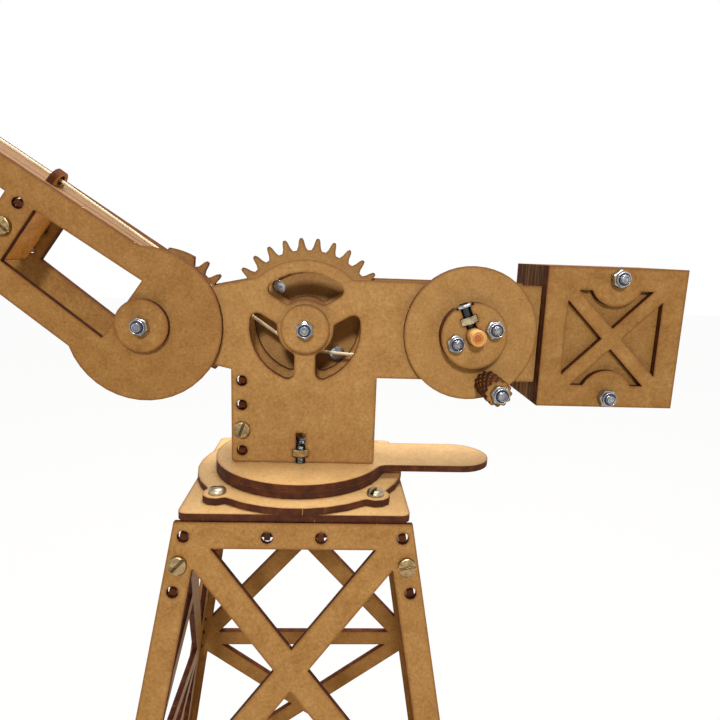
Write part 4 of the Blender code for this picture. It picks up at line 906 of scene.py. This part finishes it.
def dress_knob():
    """The knob: scalloped discs on a bolt, every second one turned by half a lobe."""
    low, high = low_high("crank_knob", 1)
    centre = middle("crank_knob")
    pitch = (high - low + SEAT) / KNOB_LAYERS
    half = (pitch - SEAT) / 2
    discs = []
    for layer in range(KNOB_LAYERS):
        disc = cylinder("knob_disc_%d" % layer, KNOB_BOARD, KNOB_LOBES * 8, KNOB_R, -half, half)
        for vert in disc.data.vertices:
            angle = math.atan2(vert.co.y, vert.co.x)
            swell = abs(math.cos(angle * KNOB_LOBES / 2))
            reach = 1.0 - KNOB_WAVE * (1.0 - swell) / KNOB_R
            vert.co.x *= reach
            vert.co.y *= reach
        ease(disc, rim_edges(-half, half), 0.00015, 1)
        disc.rotation_euler = (math.radians(90.0), 0.0, 0.0)
        disc.rotation_euler.rotate_axis("Z", math.radians(KNOB_STAGGER * (layer % 2)))
        disc.location = (centre.x, low + pitch * layer + half, centre.z)
        settle(disc)
        smooth(disc, 30.0)
        discs.append(disc)
    knob = join("knob_discs", discs)
    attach(knob, "knob")
    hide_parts("crank_knob")


def turned_piece(name, node, stations, body):
    """A bored wheel spun about Y from its half outline, a row of places along the axis and radii."""
    deselect()
    bpy.ops.mesh.primitive_plane_add(size=0.001)
    piece = bpy.context.object
    piece.name = name
    piece.data.materials.append(UPRIGHT)
    bpy.ops.object.mode_set(mode="EDIT")
    mesh = bmesh.from_edit_mesh(piece.data)
    bmesh.ops.delete(mesh, geom=mesh.verts[:], context="VERTS")
    bore = BOLT_R * 1.15
    outline = list(stations) + [(stations[-1][0], bore), (stations[0][0], bore)]
    corners = [mesh.verts.new((r, 0.0, y)) for y, r in outline]
    for a, b in zip(corners, corners[1:] + corners[:1]):
        mesh.edges.new((a, b))
    bmesh.update_edit_mesh(piece.data)
    bpy.ops.mesh.select_all(action="SELECT")
    bpy.ops.mesh.spin(steps=WHEEL_SIDES, angle=math.tau, center=(0.0, 0.0, 0.0), axis=(0.0, 0.0, 1.0))
    bpy.ops.mesh.select_all(action="SELECT")
    bpy.ops.mesh.remove_doubles(threshold=NEAR)
    bpy.ops.mesh.normals_make_consistent(inside=False)
    edit_done()
    piece.rotation_euler = (math.radians(-90.0), 0.0, 0.0)
    piece.location = middle(node)
    settle(piece)
    smooth(piece, 30.0)
    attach(piece, body)
    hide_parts(node)


def dress_rollers():
    """The string's roller in the body and the sheave at the jib's tip, spun smooth."""
    half, rim, core = SPOOL_HALF, SPOOL_RIM_R, SPOOL_R
    flange = half / 4
    stations = [(-half, rim), (-half + flange, rim), (-half + flange, core),
                (half - flange, core), (half - flange, rim), (half, rim)]
    turned_piece("roller", "string_spool", stations, "turntable")
    half, rim, core = SHEAVE_HALF, SHEAVE_RIM_R, SHEAVE_R
    lip = half / 3
    side, hub = SHEAVE_HUB_HALF, SHEAVE_HUB_R
    stations = [(-side, hub), (-half, hub), (-half, rim), (-half + lip, rim),
                (-half + 1.5 * lip, core), (half - 1.5 * lip, core),
                (half - lip, rim), (half, rim), (half, hub), (side, hub)]
    turned_piece("sheave", "tip_sheave", stations, "sheave")


# The hoist string

def along(route):
    """Points at an even spacing along a route, and its length."""
    points = [Vector(p) for p in route]
    lengths = [(b - a).length for a, b in zip(points, points[1:])]
    total = sum(lengths)
    count = max(2, round(total / STRING_STEP))
    evened = []
    for i in range(count + 1):
        left = total * i / count
        for (a, b), length in zip(zip(points, points[1:]), lengths):
            if left <= length + 1e-12:
                evened.append(a.lerp(b, left / length))
                break
            left -= length
        else:
            evened.append(points[-1].copy())
    return evened, total


def twisted(name, route):
    """A laid string along a route: strands that turn about its middle."""
    points, total = along(route)
    bm = bmesh.new()
    sides = STRANDS * SIDES_PER_STRAND
    side = None
    rings = []
    for i, point in enumerate(points):
        forward = (points[min(i + 1, len(points) - 1)] - points[max(i - 1, 0)]).normalized()
        if side is None:
            side = forward.cross(Vector(SIDEWAYS)).normalized()
        side = (side - forward * side.dot(forward)).normalized()
        other = forward.cross(side)
        turn = math.tau * (total * i / (len(points) - 1)) / STRAND_LAY
        ring = []
        for k in range(sides):
            angle = math.tau * k / sides
            reach = STRING_R * (0.76 + 0.24 * abs(math.cos(STRANDS * angle / 2)))
            ring.append(bm.verts.new(point + side * (reach * math.cos(angle + turn))
                                     + other * (reach * math.sin(angle + turn))))
        rings.append(ring)
    for lower, upper in zip(rings, rings[1:]):
        for k in range(sides):
            j = (k + 1) % sides
            bm.faces.new((lower[k], lower[j], upper[j], upper[k]))
    bm.faces.new(rings[0])
    bm.faces.new(rings[-1])
    bmesh.ops.recalc_face_normals(bm, faces=bm.faces[:])
    mesh = bpy.data.meshes.new(name)
    bm.to_mesh(mesh)
    bm.free()
    mesh.materials.append(STRING)
    piece = bpy.data.objects.new(name, mesh)
    bpy.context.collection.objects.link(piece)
    smooth(piece, 60.0)
    return piece


def flat(point):
    """A place's X and Z."""
    return (point.x, point.z)


def onto_wheel(start, wheel, radius):
    """The angle about a wheel at which a straight string from start first touches it."""
    run = Vector((wheel.x, 0.0, wheel.z)) - start
    heading = math.degrees(math.atan2(run.z, run.x))
    return heading - math.degrees(math.asin(radius / run.length)) - 90.0


def string_eyes():
    """The two eyes that the string runs through on the jib's top strip."""
    pivot = middle("pivot_disc_front")
    angle = math.radians(LUFF)
    taper = math.tan(math.radians(JIB_TAPER))
    eyes = []
    for reach in POSTS:
        rise = JIB_HALF - reach * taper - STRIP_RECESS + EYE_BORE_RISE
        eyes.append(Vector((pivot.x - reach * math.cos(angle) + rise * math.sin(angle), 0.0,
                            pivot.z + reach * math.sin(angle) + rise * math.cos(angle))))
    return eyes


def dress_jib_string(eyes, sheave, wrap):
    """The string through both eyes and over the sheave, to where it hangs free."""
    arrive = onto_wheel(eyes[1], sheave, wrap)
    over = [polar(wrap, arrive + (180.0 - arrive) * i / 24, flat(sheave)) for i in range(25)]
    piece = twisted("string_on_jib", eyes + over)
    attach(piece, "jib")
    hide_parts("string_along_jib")


def dress_body_strings(eye, spool, winch):
    """The string from the jib's first eye to the roller, and on with some slack to the dowel."""
    roll = SPOOL_R + STRING_R + SEAT
    meets = onto_wheel(eye, spool, roll)
    touch = polar(roll, meets, flat(spool))
    upper = twisted("string_to_jib", [eye, touch])
    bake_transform(upper)
    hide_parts("string_upper")

    route = [polar(roll, meets + (STRING_RELEASE - meets) * i / 12, flat(spool)) for i in range(13)]
    turn = [polar(WINDING_R, STRING_ARRIVES + ARRIVING_TURN * i / 40, flat(winch))
            for i in range(41)]
    for point in turn:
        point.y = -(WINDING_LOOPS / 2 + 1) * WINDING_PITCH
    first, last = route[-1], turn[0]
    lead = first + polar(SAG_AFTER_ROLLER, STRING_RELEASE + 90.0)
    bend = last - polar(SAG_BEFORE_DOWEL, STRING_ARRIVES + 90.0)
    for i in range(1, 31):
        u = i / 30
        route.append(first * (1 - u) ** 3 + lead * (3 * u * (1 - u) ** 2)
                     + bend * (3 * u * u * (1 - u)) + last * u ** 3)
    lower = twisted("string_to_winch", route + turn[1:])
    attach(lower, "turntable")
    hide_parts("string_lower")


def dress_winding(winch):
    """The loops on the dowel."""
    per_turn = 48
    coil = []
    for i in range(WINDING_LOOPS * per_turn + 1):
        point = polar(WINDING_R, WINDING_START + 360.0 * i / per_turn, flat(winch))
        point.y = (i / per_turn - WINDING_LOOPS / 2) * WINDING_PITCH
        coil.append(point)
    winding = twisted("winding", coil)
    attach(winding, "crank")
    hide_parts("string_winding")


def dress_fall(sheave, wrap):
    """The string that hangs from the sheave, and the knot that holds the hook."""
    x = sheave.x - wrap
    start_z = sheave.z - SEAT
    knot_top = low_high("hook", 2)[1] - KNOT_POCKET - SEAT
    fall = twisted("string_to_hook", [(x, 0.0, start_z), (x, 0.0, knot_top)])
    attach(fall, "fall")
    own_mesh(fall)
    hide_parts("string_fall")

    def in_strand(face):
        across = face.calc_center_median()
        return int(math.degrees(math.atan2(across.y, across.x)) // 60) % 2 == 0

    knot = begin("knot", "uv_sphere", STRING, segments=24, ring_count=16, radius=KNOT_R,
                 location=(x, 0.0, knot_top - 0.0016), scale=(1.0, 0.86, 0.95))
    edit(knot, in_strand)
    bpy.ops.transform.resize(value=(1.06, 1.0, 1.06))
    edit_done()
    settle(knot)
    smooth(knot, 60.0)
    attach(knot, "hook")


def dress_string():
    """The hoist string: from the dowel, under the roller, along the jib and down to the hook."""
    eyes = string_eyes()
    sheave, winch = middle("tip_sheave"), middle("crank_disc")
    wrap = SHEAVE_R + STRING_R + SEAT
    dress_jib_string(eyes, sheave, wrap)
    dress_body_strings(eyes[0], middle("string_spool"), winch)
    dress_winding(winch)
    dress_fall(sheave, wrap)


# Camera, floor and light

FLOOR_COLOUR = (0.85, 0.74, 0.54, 1.0)
FLOOR_GLOW = 0.96
FLOOR_DROP = 0.0002
SOFT_LEVEL = 0.15
WHITE_LEVEL = 1.0


def build_camera():
    """The camera at the photograph's place, from the points that were fitted on it."""
    yaw, pitch, roll = 0.051, -0.188, 0.035
    focal_pixels, picture_pixels, sensor = 569.205, 720.0, 36.0
    place = Vector((0.013374, -0.264195, body_foot() + 0.096336))
    forward = Vector((math.sin(yaw) * math.cos(pitch), math.cos(yaw) * math.cos(pitch),
                      math.sin(pitch)))
    level = Vector((math.cos(yaw), -math.sin(yaw), 0.0))
    up = level.cross(forward)
    right = level * math.cos(roll) + up * math.sin(roll)
    top = up * math.cos(roll) - level * math.sin(roll)
    data = bpy.data.cameras.new("camera")
    data.sensor_width = sensor
    data.sensor_fit = "HORIZONTAL"
    data.lens = sensor * focal_pixels / picture_pixels
    data.clip_start = 0.01
    camera = bpy.data.objects.new("camera", data)
    turn = Matrix((right, top, -forward)).transposed().to_4x4()
    camera.matrix_world = Matrix.Translation(place) @ turn
    bpy.context.collection.objects.link(camera)
    bpy.context.scene.camera = camera


def floor_white():
    """A pale matt floor that the camera and mirrors see as nearly white, but for shadows."""
    n = Nodes("floor white")
    n.shader.inputs["Base Color"].default_value = FLOOR_COLOUR
    n.shader.inputs["Roughness"].default_value = 0.9
    rays = n.add("ShaderNodeLightPath")
    glow = n.add("ShaderNodeEmission", Color=(1.0, 1.0, 1.0, 1.0))
    mix = n.add("ShaderNodeMixShader")
    seen = n.maths("MAXIMUM", rays.outputs["Is Camera Ray"], rays.outputs["Is Glossy Ray"])
    n.join(n.maths("MULTIPLY", seen, FLOOR_GLOW), mix.inputs[0])
    n.join(n.shader.outputs[0], mix.inputs[1])
    n.join(glow.outputs[0], mix.inputs[2])
    n.join(mix.outputs[0], n.tree.nodes["Material Output"].inputs["Surface"])
    return n.material


def build_world():
    """Surroundings that light the object softly, and that the camera and mirrors see as white."""
    world = bpy.data.worlds.new("studio")
    bpy.context.scene.world = world
    world.use_nodes = True
    tree = world.node_tree
    background = tree.nodes["Background"]
    background.inputs["Color"].default_value = (1.0, 1.0, 1.0, 1.0)
    rays = tree.nodes.new("ShaderNodeLightPath")
    seen = tree.nodes.new("ShaderNodeMath")
    seen.operation = "MAXIMUM"
    tree.links.new(rays.outputs["Is Camera Ray"], seen.inputs[0])
    tree.links.new(rays.outputs["Is Glossy Ray"], seen.inputs[1])
    strength = tree.nodes.new("ShaderNodeMapRange")
    strength.inputs["To Min"].default_value = SOFT_LEVEL
    strength.inputs["To Max"].default_value = WHITE_LEVEL
    tree.links.new(seen.outputs[0], strength.inputs["Value"])
    tree.links.new(strength.outputs["Result"], background.inputs["Strength"])


def lamp(name, place, aim, size, watts):
    """A square soft lamp that points at a place."""
    data = bpy.data.lights.new(name, "AREA")
    data.energy = watts
    data.size = size
    light = bpy.data.objects.new(name, data)
    light.location = place
    light.rotation_mode = "QUATERNION"
    light.rotation_quaternion = (Vector(aim) - Vector(place)).to_track_quat("-Z", "Y")
    bpy.context.collection.objects.link(light)


def build_studio():
    """Pale floor, white surroundings and soft lamps."""
    floor = begin("floor", "plane", floor_white(), size=8.0, location=(0.0, 0.0, -FLOOR_DROP))
    build_world()
    lamp("key", (-0.04, -0.95, 0.84), (0.0, 0.0, 0.33), size=0.12, watts=7.4)
    lamp("top", (0.12, 0.20, 1.30), (0.0, 0.0, 0.30), size=0.7, watts=21.0)
    lamp("fill", (0.7, -0.9, 0.50), (0.05, 0.0, 0.35), size=0.8, watts=0.7)


dress_boards()
dress_hardware()
dress_dowel()
dress_knob()
dress_rollers()
dress_string()
build_camera()
build_studio()
bpy.context.scene.view_settings.view_transform = "Standard"
